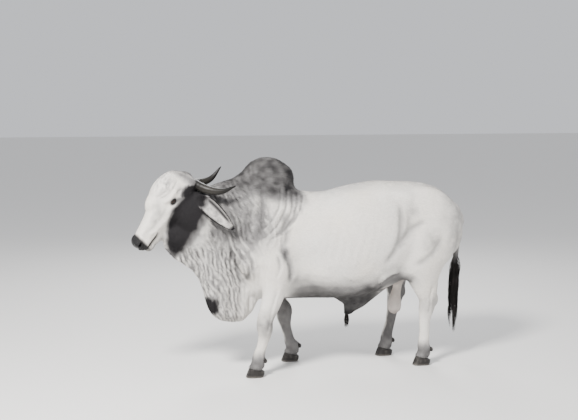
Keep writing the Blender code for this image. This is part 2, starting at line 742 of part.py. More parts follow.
def flesh_spaces():
    """The name and the block of each part of the flesh, in the order they are taken from the whole."""
    hang_line = ((-0.72, 0, 0.915), (0.293, 0, 0.956))  # below this the skin hangs free
    yield "head", [HEAD_PLANE, ((-1, 0, 0.96), (0.20, 0, -1))]
    yield "dewlap", [hang_line, ((-0.36, 0, 0), (1, 0, 0)), ((0, 0.15, 0), (0, 1, 0)), ((0, -0.15, 0), (0, -1, 0))]
    yield "neck", [NECK_PLANE, away(hang_line)]
    yield "hump", [((-0.30, 0, 1.456), (0.03, 0, -1)), ((0.03, 0, 0), (1, 0, 0))]
    for side, name in ((LEFT, "left"), (RIGHT, "right")):
        yield "foreleg_" + name, [
            ((0, side * 0.135, 0), (0, -side, 0)),
            ((-0.62, 0, 0), (-1, 0, 0)),
            ((0.04, 0, 0.6), (1, 0, 0.3)),
            ((0, side * 0.15, 0.585), (0, -side * 0.749, 0.663)),
        ]
        yield "hindleg_" + name, [
            ((0, side * 0.075, 0), (0, -side, 0)),
            ((0.66, 0, 0), (-1, 0, 0)),
            ((0, side * 0.08, 0.70), (0, -side * 0.52, 0.85)),
        ]
    yield "sheath", [
        ((0.28, 0, 0.553), (-0.16, 0, 0.987)),
        ((0, 0.074, 0), (0, 1, 0)),
        ((0, -0.074, 0), (0, -1, 0)),
        ((0.26, 0, 0), (-1, 0, 0)),
        ((0.735, 0, 0), (1, 0, 0)),
    ]
    yield "scrotum", [
        ((0, 0, 0.655), (0, 0, 1)),
        ((0, 0.0745, 0), (0, 1, 0)),
        ((0, -0.0745, 0), (0, -1, 0)),
        ((0.735, 0, 0), (-1, 0, 0)),
    ]


def copy_of(obj, name):
    twin = bpy.data.objects.new(name, obj.data.copy())
    bpy.context.scene.collection.objects.link(twin)
    return twin


def grown(mesh, by):
    """A copy of a closed mesh, larger by that much on every side."""
    bigger = mesh.copy()
    bigger.normal_update()
    for vert in bigger.verts:
        sharp = max(0.5, vert.calc_shell_factor() ** -1) if vert.calc_shell_factor() else 1
        vert.co += vert.normal * by / sharp
    return bigger


def lower_detail(flesh):
    group = flesh.vertex_groups.new(name="fine")
    for vert in flesh.data.vertices:
        x, y, z = vert.co
        on_head = x < -0.86 and z > 1.0
        folds = x < -0.35 and z < 1.0 and abs(y) < 0.15
        weight = DETAIL[0] if on_head else DETAIL[1] if folds else DETAIL[2] if z < 0.6 else DETAIL[3]
        group.add([vert.index], weight, "REPLACE")
    decimate = flesh.modifiers.new("fewer", "DECIMATE")
    decimate.ratio = BODY_TRIANGLES / len(flesh.data.polygons)
    decimate.vertex_group = "fine"
    decimate.invert_vertex_group = True
    decimate.vertex_group_factor = FINE_FACTOR
    decimate.use_collapse_triangulate = True
    return apply_modifiers(flesh)


def carve_head(head):
    """Lids, nostrils and the line of the mouth."""
    lids, hollows = [], []
    for side in (LEFT, RIGHT):
        x, y, z = EYE
        lid = (LID_RADIUS * 1.2, LID_RADIUS, LID_RADIUS * 0.92)
        lids.append(object_of("lid", blob((x, side * y, z), lid, (0, 10, 0), HEAD, 2)))
        window = blob((x - 0.001, side * (y + 0.024), z - 0.001), (0.020, 0.018, 0.0105), (0, 12, 0), HEAD, 2)
        nostril = blob((-0.408, side * 0.072, 0.010), (0.021, 0.017, 0.012), (0, 20, side * 14), HEAD, 2)
        hollows += [object_of("window", window), object_of("nostril", nostril)]
    boolean(head, lids, "UNION")
    boolean(head, hollows, "DIFFERENCE")
    mouth = object_of("mouth", blob((-0.345, 0, -0.048), (0.135, 0.110, 0.003), (0, 4, 0), HEAD, 2))
    inner = object_of("inner", blob((-0.345, 0, -0.048), (0.078, 0.058, 0.05), (0, 4, 0), HEAD, 2))
    boolean(mouth, [inner], "DIFFERENCE")
    return boolean(head, [mouth], "DIFFERENCE")


SKINS = {
    "head": ((0.62, 0.60, 0.57), 0.75),
    "dewlap": ((0.52, 0.50, 0.48), 0.8),
    "neck": ((0.50, 0.49, 0.47), 0.8),
    "hump": ((0.22, 0.21, 0.21), 0.8),
    "torso": ((0.72, 0.70, 0.67), 0.75),
    "foreleg": ((0.60, 0.58, 0.56), 0.75),
    "hindleg": ((0.64, 0.62, 0.59), 0.75),
    "sheath": ((0.33, 0.31, 0.30), 0.7),
    "scrotum": ((0.60, 0.54, 0.50), 0.6),
    "ear": ((0.45, 0.42, 0.40), 0.75),
    "eye": ((0.02, 0.012, 0.008), 0.06),
    "horn": ((0.07, 0.065, 0.06), 0.4),
    "claw": ((0.05, 0.045, 0.04), 0.45),
    "dewclaw": ((0.055, 0.05, 0.045), 0.5),
    "tail": ((0.10, 0.095, 0.09), 0.8),
    "switch": ((0.03, 0.028, 0.027), 0.6),
    "tuft": ((0.05, 0.045, 0.042), 0.65),
}


def finish(obj):
    """Material, shading and place on the centred frame."""
    kind = obj.name.split("_")[1] if obj.name in ("tail_switch", "sheath_tuft") else obj.name.split("_")[0]
    colour, rough = SKINS[kind]
    material = bpy.data.materials.new(obj.name)
    material.use_nodes = True
    shader = material.node_tree.nodes["Principled BSDF"]
    shader.inputs["Base Color"].default_value = (*colour, 1)
    shader.inputs["Roughness"].default_value = rough
    shader.inputs["Metallic"].default_value = 0.0
    obj.data.materials.clear()
    obj.data.materials.append(material)
    obj.data.transform(Matrix.Translation(CENTRE_SHIFT))
    obj.data.shade_smooth()
    obj.data.set_sharp_from_angle(angle=math.radians(50))


def main():
    clear_scene()
    flesh = lower_detail(fused_flesh())
    solids = {}
    sockets = []
    for side, name in ((LEFT, "left"), (RIGHT, "right")):
        solids["ear_" + name] = ear(side)
        solids["horn_" + name] = horn(side)
        for part, feet, foot_y in (("fore", FORE_FEET, FORE_Y), ("hind", HIND_FEET, HIND_Y)):
            foot_x = feet[side][1]
            for half, place in ((-side, "inner"), (side, "outer")):
                solids[f"claw_{part}_{name}_{place}"] = claw(foot_x, side * foot_y, half)
                solids[f"dewclaw_{part}_{name}_{place}"] = dewclaw(foot_x, side * foot_y, half)
            sockets.append(
                space(
                    [
                        ((foot_x - 0.060, 0, CORONET + GAP / 2), (CORONET_SLOPE, 0, 1)),
                        ((foot_x - 0.16, 0, 0), (-1, 0, 0)),
                        ((foot_x + 0.16, 0, 0), (1, 0, 0)),
                        ((0, 0, 0), (0, -side, 0)),
                    ]
                )
            )
    solids["tail"] = squared(loft(tail_rows(), turns=12, steps=3, power=2.0), TAIL_CUT - GAP, TAIL_END)
    sockets.append(space([((1.25, 0, 0), (-1, 0, 0)), ((0, 0, TAIL_CUT), (0, 0, 1)), ((1.34, 0, TAIL_CUT), (-1, 0, 0))]))
    x, z = SHEATH_TIP.x, SHEATH_TIP.z
    sockets.append(space([((x - 0.09, 0, 0), (-1, 0, 0)), ((x + 0.09, 0, 0), (1, 0, 0)), ((0, 0, z), (0, 0, 1))]))
    for name, mesh in solids.items():
        if name.startswith(("ear", "horn", "dewclaw", "tail")):
            sockets.append(grown(mesh, GAP * (2.2 if name.startswith("ear") else 1.15)))
    flesh = boolean(flesh, [object_of("socket", mesh) for mesh in sockets], "DIFFERENCE")
    nodes = []
    for name, planes in flesh_spaces():
        node = copy_of(flesh, name)
        boolean(node, [object_of("block", space(planes, -GAP / 2))], "INTERSECT")
        boolean(flesh, [object_of("block", space(planes, GAP / 2))], "DIFFERENCE")
        nodes.append(node)
    flesh.name = "torso"
    nodes.append(flesh)
    head = nodes[0]
    carve_head(head)
    balls = {name: eye_ball(side) for side, name in ((LEFT, "left"), (RIGHT, "right"))}
    boolean(head, [object_of("socket", grown(ball, GAP * 1.15)) for ball in balls.values()], "DIFFERENCE")
    for name, ball in balls.items():
        nodes.append(object_of("eye_" + name, ball))
    nodes += [object_of(name, mesh) for name, mesh in solids.items()]
    nodes += [tail_switch(), tuft_solid()]
    for node in nodes:
        finish(node)


main()
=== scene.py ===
"""A grey Brahman bull standing on a pale studio floor, seen from its left front as in the drawing."""

import json
import math
from types import SimpleNamespace

import bmesh
import bpy
import numpy as np
from mathutils import Euler, Matrix, Vector
from mathutils.bvhtree import BVHTree

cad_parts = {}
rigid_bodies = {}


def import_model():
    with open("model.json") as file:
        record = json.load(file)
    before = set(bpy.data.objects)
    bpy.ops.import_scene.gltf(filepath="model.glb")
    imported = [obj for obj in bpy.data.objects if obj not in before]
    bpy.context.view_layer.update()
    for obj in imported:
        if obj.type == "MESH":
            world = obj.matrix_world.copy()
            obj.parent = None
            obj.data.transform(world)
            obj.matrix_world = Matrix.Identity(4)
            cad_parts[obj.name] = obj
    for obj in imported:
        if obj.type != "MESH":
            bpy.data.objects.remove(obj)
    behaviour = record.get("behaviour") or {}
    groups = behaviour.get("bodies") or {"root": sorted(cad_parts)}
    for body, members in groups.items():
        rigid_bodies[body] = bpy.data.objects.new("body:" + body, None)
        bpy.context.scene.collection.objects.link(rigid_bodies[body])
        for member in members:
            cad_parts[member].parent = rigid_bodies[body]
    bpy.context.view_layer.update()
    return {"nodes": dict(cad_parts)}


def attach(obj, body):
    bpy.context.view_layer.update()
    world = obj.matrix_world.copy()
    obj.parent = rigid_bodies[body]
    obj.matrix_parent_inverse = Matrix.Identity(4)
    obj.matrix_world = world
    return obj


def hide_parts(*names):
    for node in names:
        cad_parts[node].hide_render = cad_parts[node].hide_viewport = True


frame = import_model()
solids = frame["nodes"]

# The skin. One hide covers head, neck, hump, trunk, legs, ears and tail. It is loose on a Brahman: it hangs
# in pleats under the neck, wrinkles behind the hump and over the brow, and is drawn tight over the legs.

HIDE = ["head", "neck", "dewlap", "hump", "torso", "sheath", "scrotum", "tail", "ear_left", "ear_right"]
HIDE += ["foreleg_left", "foreleg_right", "hindleg_left", "hindleg_right"]
HIDE_GRAIN = 0.0042  # spacing of the first, even mesh
HIDE_TRIANGLES = 117000  # about what is left of it after thinning, before lids and muzzle are refined
MUZZLE_EDGE, LID_EDGE = 0.0028, 0.0018  # longest edges there
HAIR_DEPTH = 0.0035  # how far the skin lies inside the solids, to leave room for the coat
FOREHAND_END = -0.16  # X where the coat of neck and hump meets that of the trunk
LEFT, RIGHT = -1, 1
world = bpy.context.scene.collection.objects

HEAD_PLACE = Matrix.Translation((-1.0492, -0.055, 1.37))
HEAD_TURN = Matrix.Rotation(math.radians(8), 4, "Z") @ Matrix.Rotation(math.radians(5), 4, "X")
HEAD = HEAD_PLACE @ HEAD_TURN @ Matrix.Rotation(math.radians(-50), 4, "Y")
EYE = (-0.004, 0.100, 0.036)
EYE_RADIUS = 0.0225


def new_piece(name, mesh):
    """An object for a finished bmesh, linked to the scene."""
    data = bpy.data.meshes.new(name)
    mesh.to_mesh(data)
    mesh.free()
    piece = bpy.data.objects.new(name, data)
    world.link(piece)
    return piece


def set_in_stone(piece):
    """The piece's mesh as its modifiers leave it, and the modifiers removed."""
    graph = bpy.context.evaluated_depsgraph_get()
    done = bpy.data.meshes.new_from_object(piece.evaluated_get(graph))
    piece.modifiers.clear()
    piece.data = done
    return piece


def modified(piece, kind, **settings):
    """The piece with its mesh as one modifier leaves it."""
    modifier = piece.modifiers.new(kind, kind)
    for key, value in settings.items():
        setattr(modifier, key, value)
    return set_in_stone(piece)


def lump(centre, radii, turn=(0, 0, 0), place=HEAD, detail=4):
    """A rounded form in the head's frame."""
    mesh = bmesh.new()
    bmesh.ops.create_icosphere(mesh, subdivisions=detail, radius=1)
    turned = Euler([math.radians(t) for t in turn]).to_matrix().to_4x4()
    mesh.transform(place @ Matrix.Translation(centre) @ turned @ Matrix.Diagonal((*radii, 1)))
    return mesh


def swollen(data, by):
    """A copy of a closed mesh, larger by that much all round, so that parted flesh meets again."""
    mesh = bmesh.new()
    mesh.from_mesh(data)
    mesh.normal_update()
    for vert in mesh.verts:
        vert.co += vert.normal * by
    return mesh


# Of the head, the same on both sides: centre, radii, and turns about Y and Z in degrees
HEAD_LUMPS = [
    ((EYE[0], EYE[1] - 0.002, EYE[2]), (0.037, 0.030, 0.028), (10, 0)),  # closed lids
    ((EYE[0] + 0.018, EYE[1] - 0.006, EYE[2] + 0.034), (0.050, 0.022, 0.015), (14, 6)),  # brow
    ((-0.402, 0.052, 0.012), (0.046, 0.034, 0.034), (20, 12)),  # wing of the nostril
    ((-0.392, 0.044, -0.022), (0.060, 0.036, 0.026), (6, 0)),  # upper lip
]
CHIN = (-0.372, 0, -0.080), (0.050, 0.058, 0.032)
SWELL, EAR_SWELL = 0.0005, 0.0016  # how much parts of the flesh are swollen, so that they meet


def raw_hide():
    """The solids of flesh and the lumps of the head as one even mesh."""
    forms = [swollen(solids[name].data, EAR_SWELL if name.startswith("ear") else SWELL) for name in HIDE]
    for side in (LEFT, RIGHT):
        for (x, y, z), radii, (tip, yaw) in HEAD_LUMPS:
            forms.append(lump((x, side * y, z), radii, (0, tip, side * yaw)))
    forms.append(lump(*CHIN))
    whole = bmesh.new()
    for mesh in forms:
        part = bpy.data.meshes.new("form")
        mesh.to_mesh(part)
        mesh.free()
        whole.from_mesh(part)
        bpy.data.meshes.remove(part)
    hide = new_piece("hide", whole)
    return modified(hide, "REMESH", mode="VOXEL", voxel_size=HIDE_GRAIN)


def places(data):
    """The points of a mesh and their normals, as rows."""
    count = len(data.vertices)
    points, normals = np.empty(count * 3), np.empty(count * 3)
    data.vertices.foreach_get("co", points)
    data.vertex_normals.foreach_get("vector", normals)
    return points.reshape(-1, 3), normals.reshape(-1, 3)


def store(data, name, kind, values):
    """A named value on every point."""
    field = data.attributes.new(name, kind, "POINT")
    key = {"FLOAT": "value", "FLOAT_VECTOR": "vector", "FLOAT_COLOR": "color"}[kind]
    field.data.foreach_set(key, np.ascontiguousarray(values, dtype=np.float32).ravel())


def coloured(data, colour):
    """The coat's colour on every point, its pattern and painted shade together, as the value that each finish
    reads.
    """
    store(data, "markings_and_shade", "FLOAT_COLOR", np.hstack([colour, np.ones((len(colour), 1))]))


def on_head(points):
    """The same points in the head's frame: nose at -X, forehead at +Z."""
    turn = np.array(HEAD.inverted())
    return points @ turn[:3, :3].T + turn[:3, 3]


def from_eye(h, side):
    """Points of the head's frame, measured from that side's eye."""
    return h - np.array((EYE[0], side * EYE[1], EYE[2]))


def ramp(value, start, end):
    """0 at start and before it, 1 at end and past it, and a smooth step between, rising or falling."""
    t = np.clip((value - start) / (end - start), 0, 1)
    return t * t * (3 - 2 * t)


def bell(value, width):
    """1 at zero, falling softly to nothing past the width."""
    return np.exp(-((value / width) ** 2))


def cloud(points, size, seed=1):
    """Soft random values between -1 and 1 that change over a distance of that size."""
    table = np.random.default_rng(seed).random(4096) * 2 - 1
    scaled = np.asarray(points) / size
    cell = np.floor(scaled).astype(np.int64)
    t = scaled - cell
    t = t * t * (3 - 2 * t)
    total = 0
    for dx in (0, 1):
        for dy in (0, 1):
            for dz in (0, 1):
                # Large primes mix the three numbers of a cell's corner into one place in the table
                key = (cell[:, 0] + dx) * 73856093 ^ (cell[:, 1] + dy) * 19349663
                key = key ^ (cell[:, 2] + dz) * 83492791
                weight = np.abs(1 - dx - t[:, 0]) * np.abs(1 - dy - t[:, 1]) * np.abs(1 - dz - t[:, 2])
                total = total + table[key & 4095] * weight
    return total


ACROSS = 9  # a radius far wider than the body, for a mask that is the same right across it


def bump_at(points, centre, radii, turn=0):
    """A soft round mask, 1 at the centre and 0 past the radii, turned about the Y axis."""
    c, s = math.cos(math.radians(turn)), math.sin(math.radians(turn))
    d = points - np.array(centre)
    u, w = d[:, 0] * c + d[:, 2] * s, -d[:, 0] * s + d[:, 2] * c
    return np.exp(-((u / radii[0]) ** 2 + (d[:, 1] / radii[1]) ** 2 + (w / radii[2]) ** 2))


def shape_of(name):
    """A solid's surface, to measure distances from."""
    data = solids[name].data
    return BVHTree.FromPolygons([v.co for v in data.vertices], [tuple(p.vertices) for p in data.polygons])


EAR_SHAPES = [shape_of("ear_left"), shape_of("ear_right")]


def regions(points):
    """How much each point belongs to head, ears, legs, dewlap and tail."""
    x, y, z = points.T
    h = on_head(points)
    muzzle = ramp(x, -1.10, -1.22)
    head = ramp(-h[:, 0] - 0.25 * h[:, 2], -0.26, -0.20) * ramp(z + 0.3 * muzzle, 1.02, 1.10)
    head *= ramp(x, -0.76, -0.84)
    ears = np.zeros(len(x))
    beside = (x > -0.92) & (x < -0.55) & (z > 1.12) & (z < 1.50) & (np.abs(y + 0.06) > 0.09)
    for index in np.nonzero(beside)[0]:
        gap = min(tree.find_nearest(Vector(points[index]), 0.02)[3] or 1.0 for tree in EAR_SHAPES)
        ears[index] = min(1.0, max(0.0, (0.0065 - gap) / 0.0025))
    ears *= ramp(np.abs(h[:, 1]), 0.118, 0.135)
    behind_arm = ramp(x - np.where(y < 0, -0.20, 0.02), 0.0, 0.06)
    between = behind_arm * ramp(x, 0.64, 0.56)  # the belly, with no leg beside it
    legs = ramp(z, 0.74, 0.58) * ramp(np.abs(y), 0.10, 0.14) * (1 - between * ramp(z, 0.46, 0.50))
    dewlap = ramp(x, -0.34, -0.44) * ramp(z, 1.04, 0.94) * (1 - ramp(np.abs(y + 0.02), 0.12, 0.16))
    tail = ramp(x, 1.26, 1.30) * ramp(z, 1.12, 1.02) * (1 - ramp(np.abs(y), 0.035, 0.05))
    return head, ears, legs, dewlap, tail


def surveyed(data):
    """The points of a skin, their normals and head places, and how much each belongs to each part."""
    points, normals = places(data)
    at = SimpleNamespace(points=points, normals=normals, h=on_head(points))
    at.head, at.ears, at.legs, at.dewlap, at.tail = regions(points)
    return at


def weighted(piece, name, share):
    """A vertex group with these shares as its weights, in steps of a twentieth."""
    group = piece.vertex_groups.new(name=name)
    for step in range(1, 21):
        chosen = np.nonzero(np.round(share * 20) == step)[0]
        group.add(chosen.tolist(), step / 20, "REPLACE")


def eased(hide):
    """The even mesh smoothed: much on the trunk, little where the form is fine."""
    at = surveyed(hide.data)
    kept = [0.82 * at.head, 0.86 * at.ears, 0.60 * at.legs, 0.72 * at.dewlap, 0.80 * at.tail]
    weighted(hide, "ease", np.minimum.reduce([1 - share for share in kept]))
    return modified(hide, "SMOOTH", factor=0.5, iterations=110, vertex_group="ease")


def neck_folds(at, wander, flank):
    """Upright folds that fan out from nape to brisket, pleats of the dewlap, wrinkles below the hump."""
    x, y, z = at.points.T
    neck = ramp(x, -0.38, -0.52) * (1 - at.head) * (1 - at.ears) * ramp(z, 0.60, 0.75)
    fan = (x + 0.42 * (z - 1.3)) / 0.052 + 0.55 * wander + 0.18 * cloud(at.points, 0.04, 4)
    ridge = 1 - np.abs(np.sin(math.pi * fan)) ** 0.7
    uneven = np.clip(0.65 + 0.7 * cloud(at.points, 0.16, 5), 0.15, 1.2)
    move = 0.0125 * neck * flank * (ridge - 0.4) * uneven
    pleat = (x + 0.10 * (z - 0.6)) / 0.038 + 0.5 * cloud(at.points, 0.12, 6)
    slow = 0.6 + 0.6 * cloud(at.points, 0.12, 7)
    move += 0.0048 * at.dewlap * flank * np.sin(2 * math.pi * pleat) * slow
    # The hump bears on the withers, and its wrinkles run down behind the shoulder
    behind = ramp(x, -0.24, -0.14) * ramp(x, 0.12, 0.0) * ramp(z, 1.20, 1.32) * ramp(z, 1.55, 1.46)
    crease = (x + 0.16 * np.abs(y) + 0.10 * (z - 1.3)) / 0.050 + 1.1 * wander
    crease = crease + 0.35 * cloud(at.points, 0.04, 14)
    patchy = np.clip(0.45 + 0.9 * cloud(at.points, 0.10, 15), 0, 1)
    fold = 1 - 2 * np.abs(np.sin(math.pi * crease)) ** 0.6
    move += 0.0085 * behind * patchy * fold * ramp(np.abs(y), 0.01, 0.06)
    shoulder = bump_at(at.points, (-0.35, 0, 1.22), (0.13, ACROSS, 0.22), -12)
    crease = (x - 0.10 * (z - 1.2)) / 0.060 + 1.1 * wander + 0.3 * cloud(at.points, 0.05, 16)
    return move + 0.0060 * shoulder * patchy * (1 - 2 * np.abs(np.sin(math.pi * crease)) ** 0.7)


def stroke(u, w, line, bow, stray, fade):
    """One groove or ridge along a slightly bowed line, soft at its sides and ends."""
    u0, w0, u1, w1, wide, high = line
    du, dw = u1 - u0, w1 - w0
    long = math.hypot(du, dw)
    t = ((u - u0) * du + (w - w0) * dw) / (du * du + dw * dw)
    off = ((u - u0) * dw - (w - w0) * du) / long + bow * long * 4 * t * (1 - t) + stray
    return high * ramp(t, -fade, fade) * ramp(t, 1 + fade, 1 - fade) * bell(off, wide)


# Of the side, seen square on: X and Z of start and end, width, and height, which is below zero for a groove
SIDE_LINES = [
    (0.718, 1.300, 0.590, 0.880, 0.030, -0.013),  # flank, in front of the thigh
    (0.800, 1.250, 0.700, 1.000, 0.028, -0.008),
    (0.700, 1.000, 0.914, 1.180, 0.024, -0.010),  # over the thigh's great muscle
    (1.050, 1.050, 0.850, 0.840, 0.028, -0.009),
    (1.240, 1.120, 1.080, 0.700, 0.026, -0.009),  # seam of the hind thigh
    (0.540, 0.700, 0.690, 0.800, 0.020, 0.012),  # skin of the flank, drawn from belly to stifle
    (-0.380, 1.460, -0.540, 0.930, 0.026, -0.012),  # between neck and shoulder
    (-0.220, 1.300, -0.270, 1.000, 0.030, -0.006),  # back of the shoulder
    (-0.040, 1.430, -0.215, 1.160, 0.010, -0.0080),  # folds that the hump's weight draws behind the shoulder
    (-0.080, 1.440, -0.265, 1.120, 0.011, -0.0095),
    (-0.120, 1.450, -0.315, 1.090, 0.011, -0.0095),
    (-0.165, 1.455, -0.360, 1.110, 0.011, -0.0085),
    (-0.215, 1.460, -0.405, 1.150, 0.011, -0.0070),
    (-0.255, 1.000, -0.180, 0.760, 0.024, -0.015),  # elbow and the fold behind it
    (-0.300, 0.960, -0.300, 0.800, 0.016, -0.007),
    (-0.490, 0.960, -0.530, 0.720, 0.022, -0.010),  # breast against the arm
    (-0.420, 0.920, -0.250, 0.700, 0.040, 0.007),
]
# X and Z of the middle, half length along each, and height
SIDE_FORMS = [
    (0.67, 0.79, 0.07, 0.07, 0.009),  # stifle
    (0.62, 1.40, 0.06, 0.05, 0.010),  # point of the hip
    (1.22, 1.24, 0.06, 0.06, 0.009),  # pin bone
    (0.50, 1.27, 0.12, 0.10, -0.010),  # hollow of the flank
    (-0.33, 1.06, 0.09, 0.13, 0.008),  # shoulder
    (-0.24, 0.86, 0.05, 0.07, 0.009),  # elbow
    (0.93, 1.02, 0.13, 0.12, 0.008),  # thigh
]


def swells(points, forms):
    """Rounded swells and hollows, each the same right across the body."""
    return sum(high * bump_at(points, (u, 0, w), (long, ACROSS, tall)) for u, w, long, tall, high in forms)


def side_folds(at, side, wander, flank):
    """Muscles and folds of the side, the ribs, and the slack skin of sheath and belly."""
    x, y, z = at.points.T
    stray = 0.009 * wander + 0.003 * cloud(at.points, 0.05, 20)
    move = side * sum(stroke(x, z, line, 0.10, stray, 0.12) for line in SIDE_LINES)
    ribs = ramp(x, 0.02, 0.14) * ramp(x, 0.58, 0.46) * ramp(z, 0.80, 0.96) * ramp(z, 1.28, 1.12) * side
    move += 0.0014 * ribs * np.sin(2 * math.pi * (x - 0.30 * (z - 1.1)) / 0.072) * (0.6 + 0.4 * wander)
    slack = ramp(z, 0.62, 0.55) * ramp(x, 0.24, 0.34) * ramp(x, 0.78, 0.70)
    slack *= 1 - ramp(np.abs(y), 0.07, 0.10)
    return move + 0.0020 * slack * flank * np.sin(2 * math.pi * (z + 0.35 * x) / 0.030 + 2.5 * wander)


# Side, X of knee or hock, X of the foot, height of the joint, and whether it is a foreleg
LEG_AXES = [
    (LEFT, -0.364, -0.434, 0.40, True),
    (RIGHT, -0.099, -0.044, 0.40, True),
    (LEFT, 0.976, 0.956, 0.50, False),
    (RIGHT, 0.851, 0.771, 0.50, False),
]


def leg_relief(at):
    """Tendons behind the cannon bones, the bones of knee, hock and fetlock, and the creases before them."""
    x, y, z = at.points.T
    outer = ramp(np.abs(at.normals[:, 1]), 0.35, 0.8)
    move = np.zeros(len(x))
    for side, joint_x, foot_x, top, fore in LEG_AXES:
        own = at.legs * (side * y > 0) * ((x < 0.4) == fore)
        middle = joint_x + (foot_x - joint_x) * (top - z) / (top - 0.07)
        shin = own * ramp(z, 0.13, 0.19) * ramp(z, top - 0.09, top - 0.03)
        move -= 0.0050 * shin * outer * bell(x - middle - 0.010, 0.008)
        move += 0.0022 * shin * outer * bell(x - middle - 0.026, 0.008)
        move += 0.0050 * own * outer * bell(z - top, 0.045) * bell(x - joint_x, 0.030)
        move -= 0.0040 * own * outer * bell(z - top - 0.075, 0.030) * bell(x - joint_x - 0.004, 0.025)
        front = own * ramp(at.normals[:, 0], -0.2, -0.7)
        move += 0.0016 * front * bell(z - top, 0.04) * np.sin(2 * math.pi * z / 0.017)
        move -= 0.0025 * own * bell(z - 0.100, 0.010) - 0.0030 * own * bell(z - 0.145, 0.022)
        arm = own * outer * ramp(z, top + 0.06, top + 0.14) * ramp(z, top + 0.34, top + 0.24)
        move -= 0.0050 * arm * bell(x - joint_x - 0.02 - 0.25 * (z - top - 0.1), 0.013)
    return move


# The same for the face, in the head's frame
FACE_LINES = [
    (-0.060, 0.000, -0.300, -0.008, 0.015, 0.0060),  # crest of the cheek bone
    (-0.075, 0.048, -0.330, 0.036, 0.018, -0.0050),  # hollow beside the bone of the nose
    (-0.130, -0.030, -0.205, -0.180, 0.020, -0.0075),  # front edge of the jaw's muscle
    (-0.020, -0.060, -0.150, -0.100, 0.010, -0.0030),
    (0.050, 0.080, -0.055, 0.082, 0.013, 0.0065),  # brow
    (0.110, 0.135, -0.070, 0.150, 0.008, -0.0045),  # folds of the forehead
    (0.120, 0.105, -0.050, 0.118, 0.007, -0.0040),
    (0.060, 0.060, 0.120, 0.020, 0.010, -0.0040),
    (-0.060, 0.020, -0.150, -0.030, 0.004, 0.0022),  # veins
    (-0.150, -0.030, -0.250, -0.035, 0.004, 0.0022),
    (-0.150, -0.030, -0.190, 0.020, 0.0035, 0.0018),
    (-0.255, 0.000, -0.330, -0.030, 0.012, -0.0030),
]
FACE_FORMS = [
    (0.090, 0.045, 0.035, 0.030, -0.0080),  # temple
    (-0.040, -0.140, 0.090, 0.090, 0.0080),  # muscle of the jaw
    (-0.350, 0.020, 0.030, 0.030, -0.0035),  # behind the nostril
]


def face_relief(at, wander):
    """Bone, muscle, veins and folds of the face."""
    u, w = at.h[:, 0], at.h[:, 2]
    move = sum(stroke(u, w, line, 0.08, 0.003 * wander, 0.15) for line in FACE_LINES)
    return at.head * ramp(np.abs(at.h[:, 1]), 0.035, 0.07) * (move + swells(at.h, FACE_FORMS))


def brow_creases(at):
    """The groove down the forehead, and fine creases over the brow and round the eyes."""
    h = at.h
    middle = at.head * bell(h[:, 1], 0.020) * ramp(h[:, 0], -0.10, 0.0)
    move = -0.004 * middle * ramp(h[:, 2], 0.05, 0.10)
    broken = np.clip(0.3 + 1.1 * cloud(h, 0.035, 17), 0, 1)
    for side in (LEFT, RIGHT):
        far = from_eye(h, side)
        ring = np.sqrt(far[:, 0] ** 2 + 1.7 * far[:, 2] ** 2)
        near = at.head * np.exp(-((ring - 0.050) ** 2) / 0.0005) * ramp(side * h[:, 1], 0.05, 0.08)
        waved = (ring + 0.002 * cloud(h, 0.02, 18)) / 0.0125
        move += 0.0011 * near * broken * np.sin(2 * math.pi * waved)
    brow = at.head * bump_at(h, (0.05, 0, 0.10), (0.07, 0.12, 0.05))
    brow = brow * np.clip(0.4 + cloud(h, 0.05, 19), 0, 1)
    wave = h[:, 0] + 0.25 * np.abs(h[:, 1]) + 0.010 * cloud(at.points, 0.05, 9)
    return move + 0.0012 * brow * np.sin(2 * math.pi * wave / 0.024)


def wrinkle(hide):
    """Folds of the loose hide, muscle and bone: each vertex is moved along its normal."""
    at = surveyed(hide.data)
    x, y, z = at.points.T
    wander = cloud(at.points, 0.11, 3)
    flank = ramp(np.abs(at.normals[:, 1]), 0.35, 0.75)
    side = ramp(np.abs(y), 0.07, 0.14)
    move = neck_folds(at, wander, flank) + side_folds(at, side, wander, flank) + leg_relief(at)
    # How deep each groove is, kept for the colour: the coat is painted darker down in the grooves, as shade
    crease = np.clip(-move / 0.009 - 0.08, 0, 1) * (1 - at.legs) * (1 - 0.45 * ramp(x, -0.10, 0.10))
    move += side * swells(at.points, SIDE_FORMS)
    # The whole lies a hair's depth inside the solids
    inset = HAIR_DEPTH * (1 - 0.55 * at.head - 0.8 * at.ears) * (1 - 0.5 * at.tail)
    move += 0.0007 * cloud(at.points, 0.02, 8) - inset * (1 - 0.3 * at.legs)
    face = face_relief(at, wander)
    # The grooves of the face are painted darker as shade in the same way
    crease = np.maximum(crease, at.head * np.clip(-face / 0.006 - 0.25, 0, 0.8))
    move += face + brow_creases(at)
    hide.data.vertices.foreach_set("co", (at.points + at.normals * move[:, None]).ravel())
    store(hide.data, "crease", "FLOAT", crease)
    hide.data.update()
    return hide


def thinned(hide, target):
    """Fewer triangles, most of them kept on head and ears."""
    at = surveyed(hide.data)
    keep = 0.30 + 0.55 * np.maximum(at.head, at.ears) + 0.25 * at.dewlap + 0.2 * at.legs + 0.2 * at.tail
    weighted(hide, "keep", np.clip(keep, 0, 0.86))
    settings = {"ratio": target / (2 * len(hide.data.polygons)), "use_collapse_triangulate": True}
    settings.update(vertex_group="keep", invert_vertex_group=True, vertex_group_factor=1.0)
    return modified(hide, "DECIMATE", **settings)


